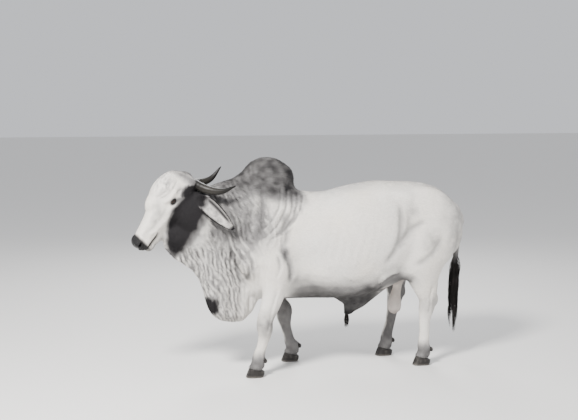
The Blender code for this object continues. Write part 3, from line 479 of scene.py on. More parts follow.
def refined(hide):
    """Finer round the eyes and over the muzzle."""
    mesh = bmesh.new()
    mesh.from_mesh(hide.data)
    inverse = HEAD.inverted()

    def too_long(edge):
        p = inverse @ ((edge.verts[0].co + edge.verts[1].co) / 2)
        if p.x < -0.27 and p.z > -0.13 and abs(p.y) < 0.12 and p.x > -0.6:
            return edge.calc_length() > MUZZLE_EDGE
        near = (p - Vector((EYE[0], math.copysign(EYE[1], p.y), EYE[2]))).length < 0.045
        return near and edge.calc_length() > LID_EDGE

    # Thinning can leave a speck, two triangles back to back with nothing else beside them
    bmesh.ops.delete(mesh, geom=[v for v in mesh.verts if len(v.link_edges) < 3], context="VERTS")

    # Each edge is cut at its middle, and the triangles beside it in two, so that none comes out flat
    for _ in range(2):
        for edge in sorted((e for e in mesh.edges if too_long(e)), key=lambda e: -e.calc_length()):
            middle = bmesh.utils.edge_split(edge, edge.verts[0], 0.5)[1]
            for face in list(middle.link_faces):
                start = next(corner for corner in face.loops if corner.vert == middle)
                bmesh.utils.face_split(face, middle, start.link_loop_next.link_loop_next.vert)
    mesh.to_mesh(hide.data)
    mesh.free()
    return hide


NOSTRIL = (-0.408, 0.070, 0.010)
LID_TILT = math.radians(14)  # the inner corner low and forward
LID_HALF, LID_RISE, LID_DROP = 0.0208, 0.0108, 0.0080  # half the opening's length, its height above and below
LID_FOLDS = [(0.0085, 0.0016, 0.0024), (0.0165, 0.0022, 0.0022), (0.0260, 0.0028, 0.0018)]  # away, wide, deep


def lids_cut(moved, h, side):
    """Opens the lids over the eye, with a rolled rim and folds round it."""
    far = from_eye(h, side)
    u = far[:, 0] * math.cos(LID_TILT) - far[:, 2] * math.sin(LID_TILT)
    v = far[:, 0] * math.sin(LID_TILT) + far[:, 2] * math.cos(LID_TILT)
    upper = LID_RISE * (1 - (np.abs(u + 0.001) / LID_HALF) ** 2.2)
    lower = -LID_DROP * (1 - (np.abs(u) / LID_HALF) ** 2)
    inside = np.minimum(upper - v, v - lower)
    out = side * far[:, 1]
    here = (out > 0.004) & (np.hypot(u, v) < 0.045)
    opening = np.where(here, ramp(inside, -0.0006, 0.0014), 0)
    ball = np.sqrt(np.clip(EYE_RADIUS**2 - u**2 - v**2, 0, None))
    moved[:, 1] += side * opening * (np.minimum(out, ball - 0.0035) - out)
    moved[:, 1] += side * 0.0022 * np.where(here, bell(inside + 0.0022, 0.0020), 0)
    near = np.where(out > 0.004, ramp(np.abs(u), 0.036, 0.016), 0)
    for away, wide, deep in LID_FOLDS:
        moved[:, 1] -= side * deep * near * bell(v - upper - away, wide)
        moved[:, 1] -= side * 0.8 * deep * near * bell(lower - v - 0.9 * away, wide)
    return opening


def nostril_sunk(moved, h, facing, side):
    """A comma, open to the side and front, with a rolled rim."""
    far = h - np.array(NOSTRIL) * (1, side, 1)
    u = far[:, 0] * 0.88 + side * far[:, 1] * 0.45
    w = far[:, 2] - 0.30 * u
    rounded = np.sqrt((u / 0.019) ** 2 + (w / (0.0105 + 0.12 * np.clip(-u, -0.02, 0.02))) ** 2)
    outer = ramp(side * h[:, 1], 0.028, 0.040)
    pit = outer * (1 - ramp(rounded, 0.50, 1.05))
    moved += np.array((0.45, -side * 0.88, -0.05)) * (0.026 * pit)[:, None]
    moved += facing * (0.0038 * outer * bell(rounded - 1.42, 0.30))[:, None]
    return pit


def mouth_drawn(moved, h, facing):
    """The line of the mouth, from under the nose back to the corner, with the lips rolled beside it."""
    line = h[:, 2] - (-0.050 + 0.10 * (h[:, 0] + 0.40) ** 2 + 0.010 * ramp(h[:, 0], -0.30, -0.24))
    reach = ramp(h[:, 0], -0.245, -0.275) * ramp(h[:, 2], 0.02, -0.01)
    groove = reach * bell(line, 0.0036)
    moved -= facing * (0.0045 * groove)[:, None]
    lip = reach * (bell(line - 0.0095, 0.005) + bell(line + 0.0095, 0.005))
    moved += facing * (0.0014 * lip)[:, None]
    return groove


def opened(hide):
    """Cuts the lids open and sinks nostrils and mouth into the fine mesh."""
    points, normals = places(hide.data)
    h = on_head(points)
    turn = np.array(HEAD)
    facing = normals @ turn[:3, :3]
    moved = h.copy()
    hollow = np.zeros(len(h))
    for side in (LEFT, RIGHT):
        opening = lids_cut(moved, h, side)
        pit = nostril_sunk(moved, h, facing, side)
        hollow = np.maximum.reduce([hollow, pit, opening])
    groove = mouth_drawn(moved, h, facing)
    pad = ramp(h[:, 0], -0.38, -0.41) * ramp(h[:, 2], -0.05, -0.03)  # grain of the bare nose
    moved += facing * (0.0006 * pad * cloud(h, 0.004, 12))[:, None]
    hide.data.vertices.foreach_set("co", (moved @ turn[:3, :3].T + turn[:3, 3]).ravel())
    hide.data.update()
    store(hide.data, "hollow", "FLOAT", np.maximum(hollow, groove))
    return hide


def lie_of(at):
    """The way the coat lies: back along the body, down sides and legs, up the face, out along the ears."""
    x, y, z = at.points.T
    way = np.zeros_like(at.points)
    way[:, 0] = 0.9
    way[:, 2] = -0.55 * ramp(np.abs(y), 0.06, 0.22) - 0.5 * ramp(x, -0.3, -0.6)
    turn = np.array(HEAD)[:3, :3]
    lies = [(at.head, turn @ (0.9, 0, 0.1)), (at.dewlap, (0.25, 0, -1)), (at.tail, (0, 0, -1))]
    lies.append((at.legs, (0.15, 0, -1)))
    for side in (LEFT, RIGHT):
        lies.append((at.ears * (side * at.h[:, 1] > 0), turn @ (0.55, side * 0.45, -0.6)))
    for share, lie in lies:
        way = way * (1 - share[:, None]) + np.array(lie) * share[:, None]
    way += 0.22 * np.stack([cloud(at.points, 0.09, seed) for seed in (31, 32, 33)], 1)
    way -= at.normals * np.sum(way * at.normals, 1)[:, None]
    return way / np.maximum(np.linalg.norm(way, axis=1), 1e-6)[:, None]


PALE = np.array((0.80, 0.775, 0.735))  # silver-white guard hair
GREY = np.array((0.200, 0.193, 0.190))
CHARCOAL = np.array((0.014, 0.013, 0.014))
BARE = np.array((0.0050, 0.0047, 0.0050))  # bare nose and skin
FLESH = np.array((0.58, 0.49, 0.44))  # thin skin of the scrotum

EAR_ROOT = (0.150, 0.108, -0.122)
EAR_WIDTHS = [0.027, 0.036, 0.051, 0.062, 0.067, 0.068, 0.067, 0.063, 0.057, 0.047, 0.033, 0.013]  # halves
EAR_STEPS = 44  # along the line from root to tip


def neck_marks_and_shade(at):
    """Charcoal hump, neck and shoulder, streaked along the folds and darker in their creases as painted
    shade, and a black patch low on the dewlap.
    """
    x, y, z = at.points.T
    hump = ramp(z + 0.10 * (x + 0.4), 1.30, 1.48) * ramp(x, -0.80, -0.66) * ramp(x, 0.04, -0.09)
    # The crease terms here and below darken the coat down in the folds: painted shade
    yield hump * (1 - at.ears), 0.80 + 0.16 * at.drift + 0.20 * at.mottle + 0.08 * at.speck + 0.15 * at.crease
    fan = (x + 0.42 * (z - 1.3)) / 0.033 + 0.9 * cloud(at.points, 0.11, 3) + 0.4 * at.mottle
    streak = np.abs(np.sin(math.pi * fan)) ** 2.2
    neck = ramp(x, -0.36, -0.52) * ramp(z, 0.90, 1.15) * (1 - at.head) * (1 - at.ears)
    depth = 0.42 + 0.32 * streak + 0.16 * at.drift + 0.10 * at.mottle
    yield neck, depth + 0.55 * np.minimum(at.crease, 0.6)
    shoulder = bump_at(at.points, (-0.42, 0, 1.22), (0.13, ACROSS, 0.26), -10) * (1 - at.ears)
    yield shoulder, 0.34 + 0.20 * streak + 0.12 * at.mottle + 0.3 * at.crease
    folds = ramp(x, -0.44, -0.58) * ramp(z, 1.12, 0.98) * (1 - at.legs)
    yield folds, 0.14 + 0.34 * streak + 0.80 * np.minimum(at.crease, 0.45)
    patch = bump_at(at.points, (-0.775, 0, 0.545), (0.085, ACROSS, 0.095), 20)
    patch = patch + 0.10 * at.mottle + 0.12 * (streak - 0.5)
    yield ramp(patch, 0.20, 0.70) * folds, 1.0


WEDGE_TOP = (-0.834, 1.46)  # X and Z of the dark wedge's upper end, below the horn
WEDGE_LEAN = (-0.4076, -0.913)  # the way it runs from there, down and forward
WEDGE_LENGTH = 0.60


def face_marks_and_shade(at):
    """A black wedge over cheek and throat, charcoal coat deepened with painted shadow, the head greyer low
    down with painted shade under the jaw, dark temples also deepened with painted shade, crown and eyes, and
    greyed lines of the face.
    """
    x, y, z = at.points.T
    h = at.h
    top_x, top_z = WEDGE_TOP
    lean_x, lean_z = WEDGE_LEAN
    down = ((x - top_x) * lean_x + (z - top_z) * lean_z) / WEDGE_LENGTH
    aside = (x - top_x) * lean_z + (z - top_z) * -lean_x + 0.010 * at.mottle
    bulge = np.sin(math.pi * np.clip(down, 0, 1) ** 0.75)
    # The wedge is the charcoal coat of cheek and throat made blacker by painted shadow on the jaw's shaded
    # side
    wedge = ramp(down, -0.08, 0.06) * ramp(down, 1.10, 0.80) * (1 - at.blade)
    wedge *= ramp(aside, 0.060 + 0.13 * bulge, 0.13 * bulge - 0.010)
    wedge *= ramp(aside, -0.130 * bulge - 0.05, -0.02 * bulge)
    strands = cloud(at.points * np.array((1, 1, 0.28)), 0.012, 45)
    yield wedge * ramp(-h[:, 2] - 0.10 * h[:, 0], -0.045, 0.020), 1.12 + 0.05 * at.mottle + 0.10 * strands
    # The head greyer low down towards the jaw: partly coat, partly painted shade under the jaw
    yield at.head * ramp(h[:, 2], -0.05, -0.10), 0.30 + 0.12 * at.mottle
    # Dark behind the eye, about the horn's root and over the temple: charcoal coat deepened with painted
    # shade in the temple's hollow
    yield at.head * ramp(h[:, 0], 0.13, 0.21), 0.70 + 0.15 * at.mottle
    temple = bump_at(h, (0.130, 0, -0.020), (0.085, ACROSS, 0.055), -12) * ramp(np.abs(h[:, 1]), 0.05, 0.08)
    yield at.head * ramp(temple + 0.10 * strands, 0.15, 0.70), 1.05 + 0.1 * at.mottle
    crown = bump_at(h, (0.06, 0, 0.15), (0.11, 0.16, 0.06))
    yield at.head * crown, 0.30 + 0.30 * strands + 0.12 * at.speck
    nose_side = ramp(h[:, 0], -0.02, -0.14) * ramp(np.abs(np.abs(h[:, 1]) - 0.085), 0.03, 0.0)
    yield at.head * nose_side * ramp(h[:, 2], -0.01, 0.03), 0.22 + 0.12 * at.mottle
    for side in (LEFT, RIGHT):
        away = from_eye(h, side)
        ring = np.sqrt(away[:, 0] ** 2 + 1.8 * away[:, 2] ** 2 + 0.3 * away[:, 1] ** 2)
        yield at.head * (1 - ramp(ring, 0.020, 0.046)), 0.80
        toward = away[:, 0] * 0.80 - away[:, 2] * 0.60
        apart = away[:, 0] * 0.60 + away[:, 2] * 0.80
        trail = ramp(toward, -0.02, 0.03) * ramp(toward, 0.20, 0.10) * bell(apart, 0.022)
        yield at.head * trail * (side * h[:, 1] > 0), 0.66 + 0.15 * at.mottle


def trunk_marks_and_shade(at):
    """Greyed back, rump and folds of the thigh, the belly and sheath darker below as painted shade, the
    keel's band partly coat and partly painted shade, and painted shade behind the elbow.
    """
    x, y, z = at.points.T
    spine = ramp(x, -0.10, 0.06) * (1 - ramp(np.abs(y), 0.00, 0.24)) * ramp(z, 1.25, 1.36)
    yield spine, 0.26 + 0.08 * at.mottle + 0.10 * at.drift
    # Painted shade: darker where the belly faces down
    belly = ramp(at.normals[:, 2], -0.05, -0.95) * ramp(z, 0.88, 0.76)
    belly *= ramp(x, -0.25, -0.05) * ramp(x, 1.0, 0.8)
    yield belly * (1 - at.legs), 0.80 + 0.06 * at.mottle
    # A dark band along the belly's lower edge, partly a darker underline of the coat and partly painted shade
    keel = 0.575 + 0.035 * ramp(x, -0.20, 0.10) + 0.085 * ramp(x, 0.22, 0.62)
    band = ramp(x, -0.24, -0.12) * ramp(x, 0.70, 0.56)
    band *= ramp(-(z - keel) + 0.02 * at.drift + 0.010 * at.mottle, -0.045, 0.010)
    yield band * (1 - at.legs), 0.84 + 0.08 * at.mottle
    # Painted shade under the belly, over the sheath
    sheath = ramp(z, 0.62, 0.54) * ramp(x, 0.16, 0.26) * ramp(x, 0.70, 0.46)
    yield sheath * (1 - at.legs), 0.74 + 0.10 * at.mottle
    # Painted shade: a dark mark in the notch of the fold behind the elbow
    yield bump_at(at.points, (-0.235, 0, 0.97), (0.030, ACROSS, 0.055)) * ramp(np.abs(y), 0.1, 0.2), 0.85
    yield ramp(x, 1.00, 1.24) * ramp(z, 0.75, 0.95), 0.20 + 0.12 * at.mottle
    thigh = bump_at(at.points, (0.82, 0, 1.27), (0.05, ACROSS, 0.06))
    thigh = thigh + 0.8 * bump_at(at.points, (0.98, 0, 1.02), (0.09, ACROSS, 0.10))
    yield np.clip(thigh, 0, 1), 0.30 + 0.15 * at.mottle + 0.1 * at.speck
    stifle = ramp(x, 0.50, 0.60) * ramp(z, 0.90, 0.80) * ramp(z, 0.60, 0.66) * (1 - ramp(x, 0.72, 0.80))
    yield stifle, 0.20 + 0.06 * at.mottle


def leg_marks_and_shade(at):
    """Insides of the legs darker as painted shade, dark knees, hocks and feet, and the tail darker towards
    its switch.
    """
    x, y, z = at.points.T
    # Painted shade: each leg darker on its inner side, facing the other legs
    yield at.legs * ramp(at.normals[:, 1] * np.sign(y), 0.0, -0.6), 0.62 + 0.1 * at.mottle
    knees = [bump_at(at.points, (knee_x, 0, 0.40), (0.14, ACROSS, 0.10)) for knee_x in (-0.36, -0.10)]
    yield np.clip(at.legs * (knees[0] + knees[1]), 0, 1), 0.42 + 0.12 * at.mottle
    yield at.legs * bump_at(at.points, (0.98, 0, 0.50), (0.22, ACROSS, 0.08)), 0.26 + 0.1 * at.mottle
    yield at.legs * ramp(z, 0.24, 0.12), 0.62 + 0.14 * at.mottle
    yield at.tail, 0.20 + 0.70 * ramp(z, 0.98, 0.80)


def ear_marks_and_shade(at):
    """Grey ears with a black rim and painted shade in the hollow under the upper edge, found along a line
    from root to tip.
    """
    steps = np.linspace(0, 1, EAR_STEPS + 1)[:, None]
    yield at.ears, 0.20 + 0.12 * at.mottle
    yield at.ears * (1 - at.blade), 0.62 + 0.15 * at.mottle
    for side in (LEFT, RIGHT):
        own = at.ears * (side * at.h[:, 1] > 0)
        face = np.array(Vector((-0.55, side * 0.80, 0.10)).normalized())
        root = HEAD @ Vector((EAR_ROOT[0], side * EAR_ROOT[1], EAR_ROOT[2]))
        bend = np.array(root + Vector((0.035, side * 0.115, -0.045)))
        tip = np.array(root + Vector((0.225, side * 0.120, -0.235)))
        middle = (1 - steps) ** 2 * np.array(root) + 2 * steps * (1 - steps) * bend + steps**2 * tip
        chosen = np.nonzero(own > 0)[0]
        nearest = np.linalg.norm(at.points[chosen, None] - middle[None], axis=2).argmin(axis=1)
        along = np.gradient(middle, axis=0)
        along /= np.linalg.norm(along, axis=1)[:, None]
        square = np.cross(along[nearest], face)
        square /= np.linalg.norm(square, axis=1)[:, None]
        half = np.interp(nearest / EAR_STEPS, np.linspace(0, 1, len(EAR_WIDTHS)), EAR_WIDTHS)
        off = np.sum((at.points[chosen] - middle[nearest]) * square, axis=1)
        off = off * math.copysign(1, square[len(square) // 2, 2])
        across, reach = np.zeros(len(own)), np.zeros(len(own))
        across[chosen] = off / half
        reach[chosen] = nearest / EAR_STEPS
        inside = own * ramp(at.normals @ face, 0.15, 0.6)
        yield inside, 0.30 + 0.20 * at.mottle + 0.12 * at.speck
        # Painted shade in the ear's hollow, a dark band just under its upper edge
        yield inside * bell(across - 0.42, 0.30) * ramp(reach, 0.10, 0.30) * ramp(reach, 0.97, 0.80), 0.95
        rim = np.maximum(ramp(np.abs(across), 0.70, 0.86), ramp(reach, 0.90, 0.975))
        yield own * rim * ramp(reach, 0.12, 0.3), 1.0


def bare_skin(at, hollow):
    """How bare the skin is, how wet, and how much of it is the scrotum's thin skin."""
    x, y, z = at.points.T
    h = at.h
    nose = at.head * ramp(-h[:, 0] + 0.10 * h[:, 2] + 0.006 * at.mottle, 0.362, 0.392)
    nose *= ramp(h[:, 2], -0.085, -0.062)
    lips = at.head * ramp(h[:, 0], -0.24, -0.30) * bell(h[:, 2] + 0.050, 0.013)
    chin = at.head * ramp(h[:, 0], -0.37, -0.40) * ramp(h[:, 2], -0.04, -0.06)
    sheath_tip = ramp(z, 0.46, 0.43) * ramp(x, 0.28, 0.31) * (1 - ramp(x, 0.45, 0.5))
    sheath_tip *= 1 - ramp(np.abs(y), 0.05, 0.08)
    lids = np.zeros(len(x))
    for side in (LEFT, RIGHT):
        away = from_eye(h, side)
        ring = np.sqrt(away[:, 0] ** 2 + 2.2 * away[:, 2] ** 2)
        lids = np.maximum(lids, at.head * (1 - ramp(ring, 0.023, 0.029)) * (side * h[:, 1] > 0.08))
    bare = np.maximum.reduce([nose, lips, 0.55 * chin, sheath_tip, lids, ramp(hollow, 0.1, 0.5)])
    wet = np.maximum(nose * ramp(h[:, 0], -0.41, -0.44), 0.4 * ramp(hollow, 0.3, 0.7))
    purse = ramp(z, 0.70, 0.66) * ramp(x, 0.66, 0.72) * (1 - ramp(np.abs(y), 0.07, 0.09))
    purse *= ramp(z, 0.36, 0.38) * (1 - ramp(x, 0.90, 0.95))
    return np.clip(bare, 0, 1), np.clip(wet, 0, 1), purse


def mixed(colour, other, share):
    """One colour going over into another."""
    return colour * (1 - share) + other * share


def markings_and_shade(at, hollow):
    """The coat's colour at each point, from how dark it is, painted shade included, and where the skin is
    bare and wet.
    """
    at.mottle, at.speck = cloud(at.points, 0.030, 41), cloud(at.points, 0.011, 42)
    at.drift = cloud(at.points, 0.14, 43)
    own_root = np.array(EAR_ROOT) * np.sign(at.h[:, 1:2] * (0, 1, 0) + (1, 0, 1))
    at.blade = at.ears * ramp(np.linalg.norm(at.h - own_root, axis=1), 0.05, 0.13)
    # Painted shade: the coat is darker down in the creases of the hide
    dark = 0.03 + 0.035 * at.drift + 0.5 * np.minimum(at.crease, 0.8) * (1 - 0.35 * at.head)
    for part in (neck_marks_and_shade, face_marks_and_shade, trunk_marks_and_shade, leg_marks_and_shade, ear_marks_and_shade):
        for mask, depth in part(at):
            dark = np.maximum(dark, mask * depth)
    dark = np.clip(dark, 0, 1)[:, None]
    pale_to_grey, grey_to_charcoal = np.clip(dark * 2, 0, 1), np.clip(dark * 2 - 1, 0, 1)
    colour = mixed(mixed(PALE, GREY, pale_to_grey), CHARCOAL, grey_to_charcoal)
    warm = np.clip(0.5 + 0.5 * cloud(at.points, 0.20, 44), 0, 1)[:, None] * (1 - pale_to_grey)
    colour = colour * (1 - warm * np.array((0.0, 0.035, 0.085)))
    bare, wet, purse = bare_skin(at, hollow)
    colour = mixed(colour, BARE * (1 + 0.7 * (at.mottle[:, None] + 1)), bare[:, None])
    return mixed(colour, FLESH, 0.6 * purse[:, None]), np.maximum(bare, 0.8 * purse), wet


def hair_length(at):
    """How long the coat is at each point."""
    x, y, z = at.points.T
    hump = ramp(z, 1.30, 1.46) * ramp(x, -0.80, -0.70) * ramp(x, 0.08, -0.04)
    nape = ramp(x, -0.30, -0.44) * ramp(z, 1.10, 1.25) * (1 - at.head)
    length = 0.013 + 0.012 * np.maximum(hump, 0.7 * nape)
    length = length * (1 - 0.45 * at.legs) * (1 - 0.15 * at.dewlap)
    length = length * (1 - 0.62 * at.head * (1 - ramp(at.h[:, 0], 0.06, 0.16)))
    edge = np.zeros(len(x))
    for side in (LEFT, RIGHT):
        thin = ramp(np.abs(at.normals @ (-0.55, side * 0.80, 0.10)), 0.50, 0.12)
        edge = np.maximum(edge, (side * at.h[:, 1] > 0) * thin)
    length = np.where(at.ears > 0.5, 0.008 + 0.011 * edge, length)
    return np.where((z < 0.125) & (at.ears < 0.5), 0.009 + 0.012 * ramp(z, 0.115, 0.090), length)


def read_from(data, name):
    """A value that the points of a mesh carry, as a row."""
    values = np.empty(len(data.vertices))
    data.attributes[name].data.foreach_get("value", values)
    return values


def painted(hide):
    """Colour, lie, length of hair and thickness of coat, as values on the points of the skin."""
    data = hide.data
    at = surveyed(data)
    at.crease = read_from(data, "crease")
    colour, bare, wet = markings_and_shade(at, read_from(data, "hollow"))
    coloured(data, colour)
    store(data, "bare", "FLOAT", bare)
    store(data, "wet", "FLOAT", wet)
    store(data, "lie", "FLOAT_VECTOR", lie_of(at))
    store(data, "hair", "FLOAT", hair_length(at))
    x, y, z = at.points.T
    furry = np.clip(1 - 1.4 * bare, 0, 1)
    fine = np.maximum(at.head, at.ears)
    back = ramp(np.hypot(y / 0.42, np.clip(z - 0.95, 0, None) / 0.7), 0.55, 0.9)
    store(data, "on_face", "FLOAT", furry * fine)
    store(data, "on_forehand", "FLOAT", furry * (1 - fine) * (x < FOREHAND_END) * (1 - at.legs))
    store(data, "on_trunk", "FLOAT", furry * (1 - at.legs) * (x >= FOREHAND_END) * (0.35 + 0.65 * back))
    store(data, "on_legs", "FLOAT", furry * at.legs)
    return hide


def unwrapped(hide):
    """The skin's own shape laid flat in pieces, as its map."""
    bpy.context.view_layer.objects.active = hide
    hide.select_set(True)
    hide.data.uv_layers.new(name="OFBake")
    bpy.ops.object.mode_set(mode="EDIT")
    bpy.ops.mesh.select_all(action="SELECT")
    bpy.ops.uv.smart_project(angle_limit=math.radians(66), island_margin=0.002)
    bpy.ops.object.mode_set(mode="OBJECT")
    return hide


def wired(made, inputs):
    """A node whose inputs are given values, or links where another node's output is given."""
    for key, value in inputs.items():
        if isinstance(value, bpy.types.NodeSocket):
            made.id_data.links.new(value, made.inputs[key])
        else:
            made.inputs[key].default_value = value
    return made


def node(tree, kind, inputs=None, **settings):
    """A new node with its settings and its inputs."""
    made = tree.nodes.new(kind)
    for key, value in settings.items():
        setattr(made, key, value)
    return wired(made, inputs or {})


def finish_of(name):
    """A material, its tree and shader, the piece's own place and the colour painted on it."""
    material = bpy.data.materials.new(name)
    material.use_nodes = True
    tree = material.node_tree
    where = node(tree, "ShaderNodeTexCoord").outputs["Object"]
    return material, tree, tree.nodes["Principled BSDF"], where, painted_on(tree, "markings_and_shade", "Color")


def painted_on(tree, name, output="Fac"):
    """A value that the points of the piece carry."""
    return node(tree, "ShaderNodeAttribute", attribute_name=name).outputs[output]


def grain(tree, where, scale, detail=4.0, rough=0.6, squeeze=(1, 1, 1)):
    """Noise on the piece's own place, stretched where wanted."""
    place = node(tree, "ShaderNodeMapping", {"Vector": where, "Scale": squeeze}).outputs["Vector"]
    inputs = {"Vector": place, "Scale": scale, "Detail": detail, "Roughness": rough}
    return node(tree, "ShaderNodeTexNoise", inputs).outputs["Fac"]


def maths(tree, operation, a, b):
    """The result of one sum on two values."""
    return node(tree, "ShaderNodeMath", {0: a, 1: b}, operation=operation).outputs[0]


def tinted(tree, colour, amount, low, high):
    """A colour times a grey that runs from low to high with the amount."""
    grey = node(tree, "ShaderNodeMapRange", {"To Min": low, "To Max": high, "Value": amount})
    inputs = {0: 1.0, 6: colour, 7: grey.outputs["Result"]}
    return node(tree, "ShaderNodeMix", inputs, data_type="RGBA", blend_type="MULTIPLY").outputs[2]


def bumped(tree, height, distance, strength):
    """Normals tilted by a height that is only painted on."""
    inputs = {"Height": height, "Distance": distance, "Strength": strength}
    return node(tree, "ShaderNodeBump", inputs).outputs["Normal"]


def skin_finish():
    """Close fur painted as fine bump over the skin, with bare, pebbled skin on nose and lips."""
    material, tree, shader, where, paint = finish_of("hide")
    bare, wet = painted_on(tree, "bare"), painted_on(tree, "wet")
    hairs = grain(tree, where, 260, 3, 0.6, (0.35, 1, 0.8))
    coarse = grain(tree, where, 42, 5, 0.62, (0.6, 1, 1))
    tone = tinted(tree, tinted(tree, paint, hairs, 0.78, 1.18), coarse, 0.84, 1.12)
    pebbles = node(tree, "ShaderNodeTexVoronoi", {"Vector": where, "Scale": 330.0}).outputs["Distance"]
    fur = maths(tree, "MULTIPLY", hairs, maths(tree, "SUBTRACT", 1.0, bare))
    skin = maths(tree, "MULTIPLY", pebbles, bare)
    height = maths(tree, "ADD", maths(tree, "ADD", fur, maths(tree, "MULTIPLY", coarse, 0.7)), skin)
    rough = maths(tree, "SUBTRACT", 0.78, maths(tree, "MULTIPLY", bare, 0.22))
    rough = maths(tree, "SUBTRACT", rough, maths(tree, "MULTIPLY", wet, 0.30))
    gloss = maths(tree, "ADD", maths(tree, "MULTIPLY", bare, 0.16), 0.10)
    wired(shader, {"Base Color": tone, "Normal": bumped(tree, height, 0.0028, 0.8), "Roughness": rough})
    wired(shader, {"Specular IOR Level": gloss})
    return material


hide = raw_hide()
eased(hide)
wrinkle(hide)
thinned(hide, HIDE_TRIANGLES)
refined(hide)
opened(hide)
painted(hide)
unwrapped(hide)
hide.data.shade_smooth()
hide.data.materials.clear()
hide.data.materials.append(skin_finish())
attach(hide, "root")
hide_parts(*HIDE)


# The coat. Short, sleek, close-lying hair in small overlapping tufts, longest on the hump and the nape,
# finest on the face and below the knees. Each tuft is a thin closed blade that lies back along the coat.

TUFT_PATCH = 0.003  # size of a tuft's patch on the map
SKIN_VALUES = ["root", "along", "lie", "hair", "crease", "bare", "wet", "hollow"]
SKIN_VALUES += ["on_face", "on_forehand", "on_trunk", "on_legs"]


def hair_finish():
    """Dull hair, each tuft a little lighter or darker than the next."""
    material, tree, shader, where, paint = finish_of("coat")
    tone = tinted(tree, paint, painted_on(tree, "shade"), 0.80, 1.20)
    tone = tinted(tree, tone, grain(tree, where, 300, 2, 0.5, (0.4, 1, 1)), 0.86, 1.12)
    relief = bumped(tree, grain(tree, where, 700, 2, 0.5, (0.3, 1, 1)), 0.0006, 0.5)
    wired(shader, {"Base Color": tone, "Normal": relief, "Roughness": 0.72, "Specular IOR Level": 0.12})
    return material


def coat_tree(name, material):
    """Scatters tufts over a skin: sizes and seed are inputs, and place, length and lie are values on it."""
    tree = bpy.data.node_groups.new(name, "GeometryNodeTree")
    face = tree.interface
    face.new_socket("Skin", in_out="INPUT", socket_type="NodeSocketGeometry")
    for label, value in (("Tufts per square metre", 20000.0), ("Width", 0.0022), ("Thickness", 0.0006)):
        face.new_socket(label, in_out="INPUT", socket_type="NodeSocketFloat").default_value = value
    face.new_socket("Where", in_out="INPUT", socket_type="NodeSocketFloat")
    face.new_socket("Seed", in_out="INPUT", socket_type="NodeSocketInt").default_value = 1
    face.new_socket("Coat", in_out="OUTPUT", socket_type="NodeSocketGeometry")
    given = node(tree, "NodeGroupInput").outputs

    def made(kind, inputs, output=0, **settings):
        return node(tree, kind, inputs, **settings).outputs[output]

    def value_of(attribute, kind="FLOAT"):
        return made("GeometryNodeInputNamedAttribute", {"Name": attribute}, "Attribute", data_type=kind)

    def stored(geometry, attribute, kind, value, domain="POINT"):
        inputs = {"Name": attribute, "Geometry": geometry, "Value": value}
        return made("GeometryNodeStoreNamedAttribute", inputs, "Geometry", data_type=kind, domain=domain)

    # Where each tuft stands, and how it is turned: upright, laid along the coat, then swayed a little
    density = maths(tree, "MULTIPLY", given["Tufts per square metre"], given["Where"])
    inputs = {"Mesh": given["Skin"], "Density": density, "Seed": given["Seed"]}
    scatter = node(tree, "GeometryNodeDistributePointsOnFaces", inputs, distribute_method="RANDOM").outputs
    turn = made("FunctionNodeAlignRotationToVector", {"Vector": scatter["Normal"]}, axis="Z")
    inputs = {"Rotation": turn, "Vector": value_of("lie", "FLOAT_VECTOR")}
    turn = made("FunctionNodeAlignRotationToVector", inputs, axis="X", pivot_axis="Z")
    inputs = {0: (-0.25, -0.26, -0.22), 1: (0.25, -0.03, 0.22), "Seed": given["Seed"]}
    sway = made("FunctionNodeRandomValue", inputs, data_type="FLOAT_VECTOR")
    inputs = {"Rotation": turn, "Rotate By": made("FunctionNodeEulerToRotation", {"Euler": sway})}
    turn = made("FunctionNodeRotateRotation", inputs, rotation_space="LOCAL")
    points = stored(scatter["Points"], "root", "FLOAT_VECTOR", value_of("OFBake", "FLOAT_VECTOR"))
    shade = made("FunctionNodeRandomValue", {2: 0.0, 3: 1.0}, 1, data_type="FLOAT")
    points = stored(points, "shade", "FLOAT", shade)

    # One tuft: a three-sided blade, a metre long before it is sized
    inputs = {"Vertices": 3, "Side Segments": 1, "Radius Top": 0.0, "Radius Bottom": 0.5, "Depth": 1.0}
    blade = made("GeometryNodeMeshCone", inputs, "Mesh", fill_type="NGON")
    blade = made("GeometryNodeTransform", {"Geometry": blade, "Rotation": (0, math.pi / 2, 0)})
    blade = stored(blade, "along", "FLOAT_VECTOR", made("GeometryNodeInputPosition", {}))
    uneven = made("FunctionNodeRandomValue", {2: 0.7, 3: 1.25}, 1, data_type="FLOAT")
    length = maths(tree, "MULTIPLY", value_of("hair"), uneven)
    size = made("ShaderNodeCombineXYZ", {0: length, 1: given["Width"], 2: given["Thickness"]})
    inputs = {"Points": points, "Instance": blade, "Rotation": turn, "Scale": size}
    whole = made("GeometryNodeRealizeInstances", {0: made("GeometryNodeInstanceOnPoints", inputs)})
    along, root = value_of("along", "FLOAT_VECTOR"), value_of("root", "FLOAT_VECTOR")
    inputs = {0: along, 1: (TUFT_PATCH, TUFT_PATCH, 0), 2: root}
    patch = made("ShaderNodeVectorMath", inputs, operation="MULTIPLY_ADD")
    mapped = stored(whole, "OFBake", "FLOAT2", patch, "CORNER")
    dressed = made("GeometryNodeSetMaterial", {"Geometry": mapped, "Material": material})
    node(tree, "NodeGroupOutput", {"Coat": dressed})
    return tree


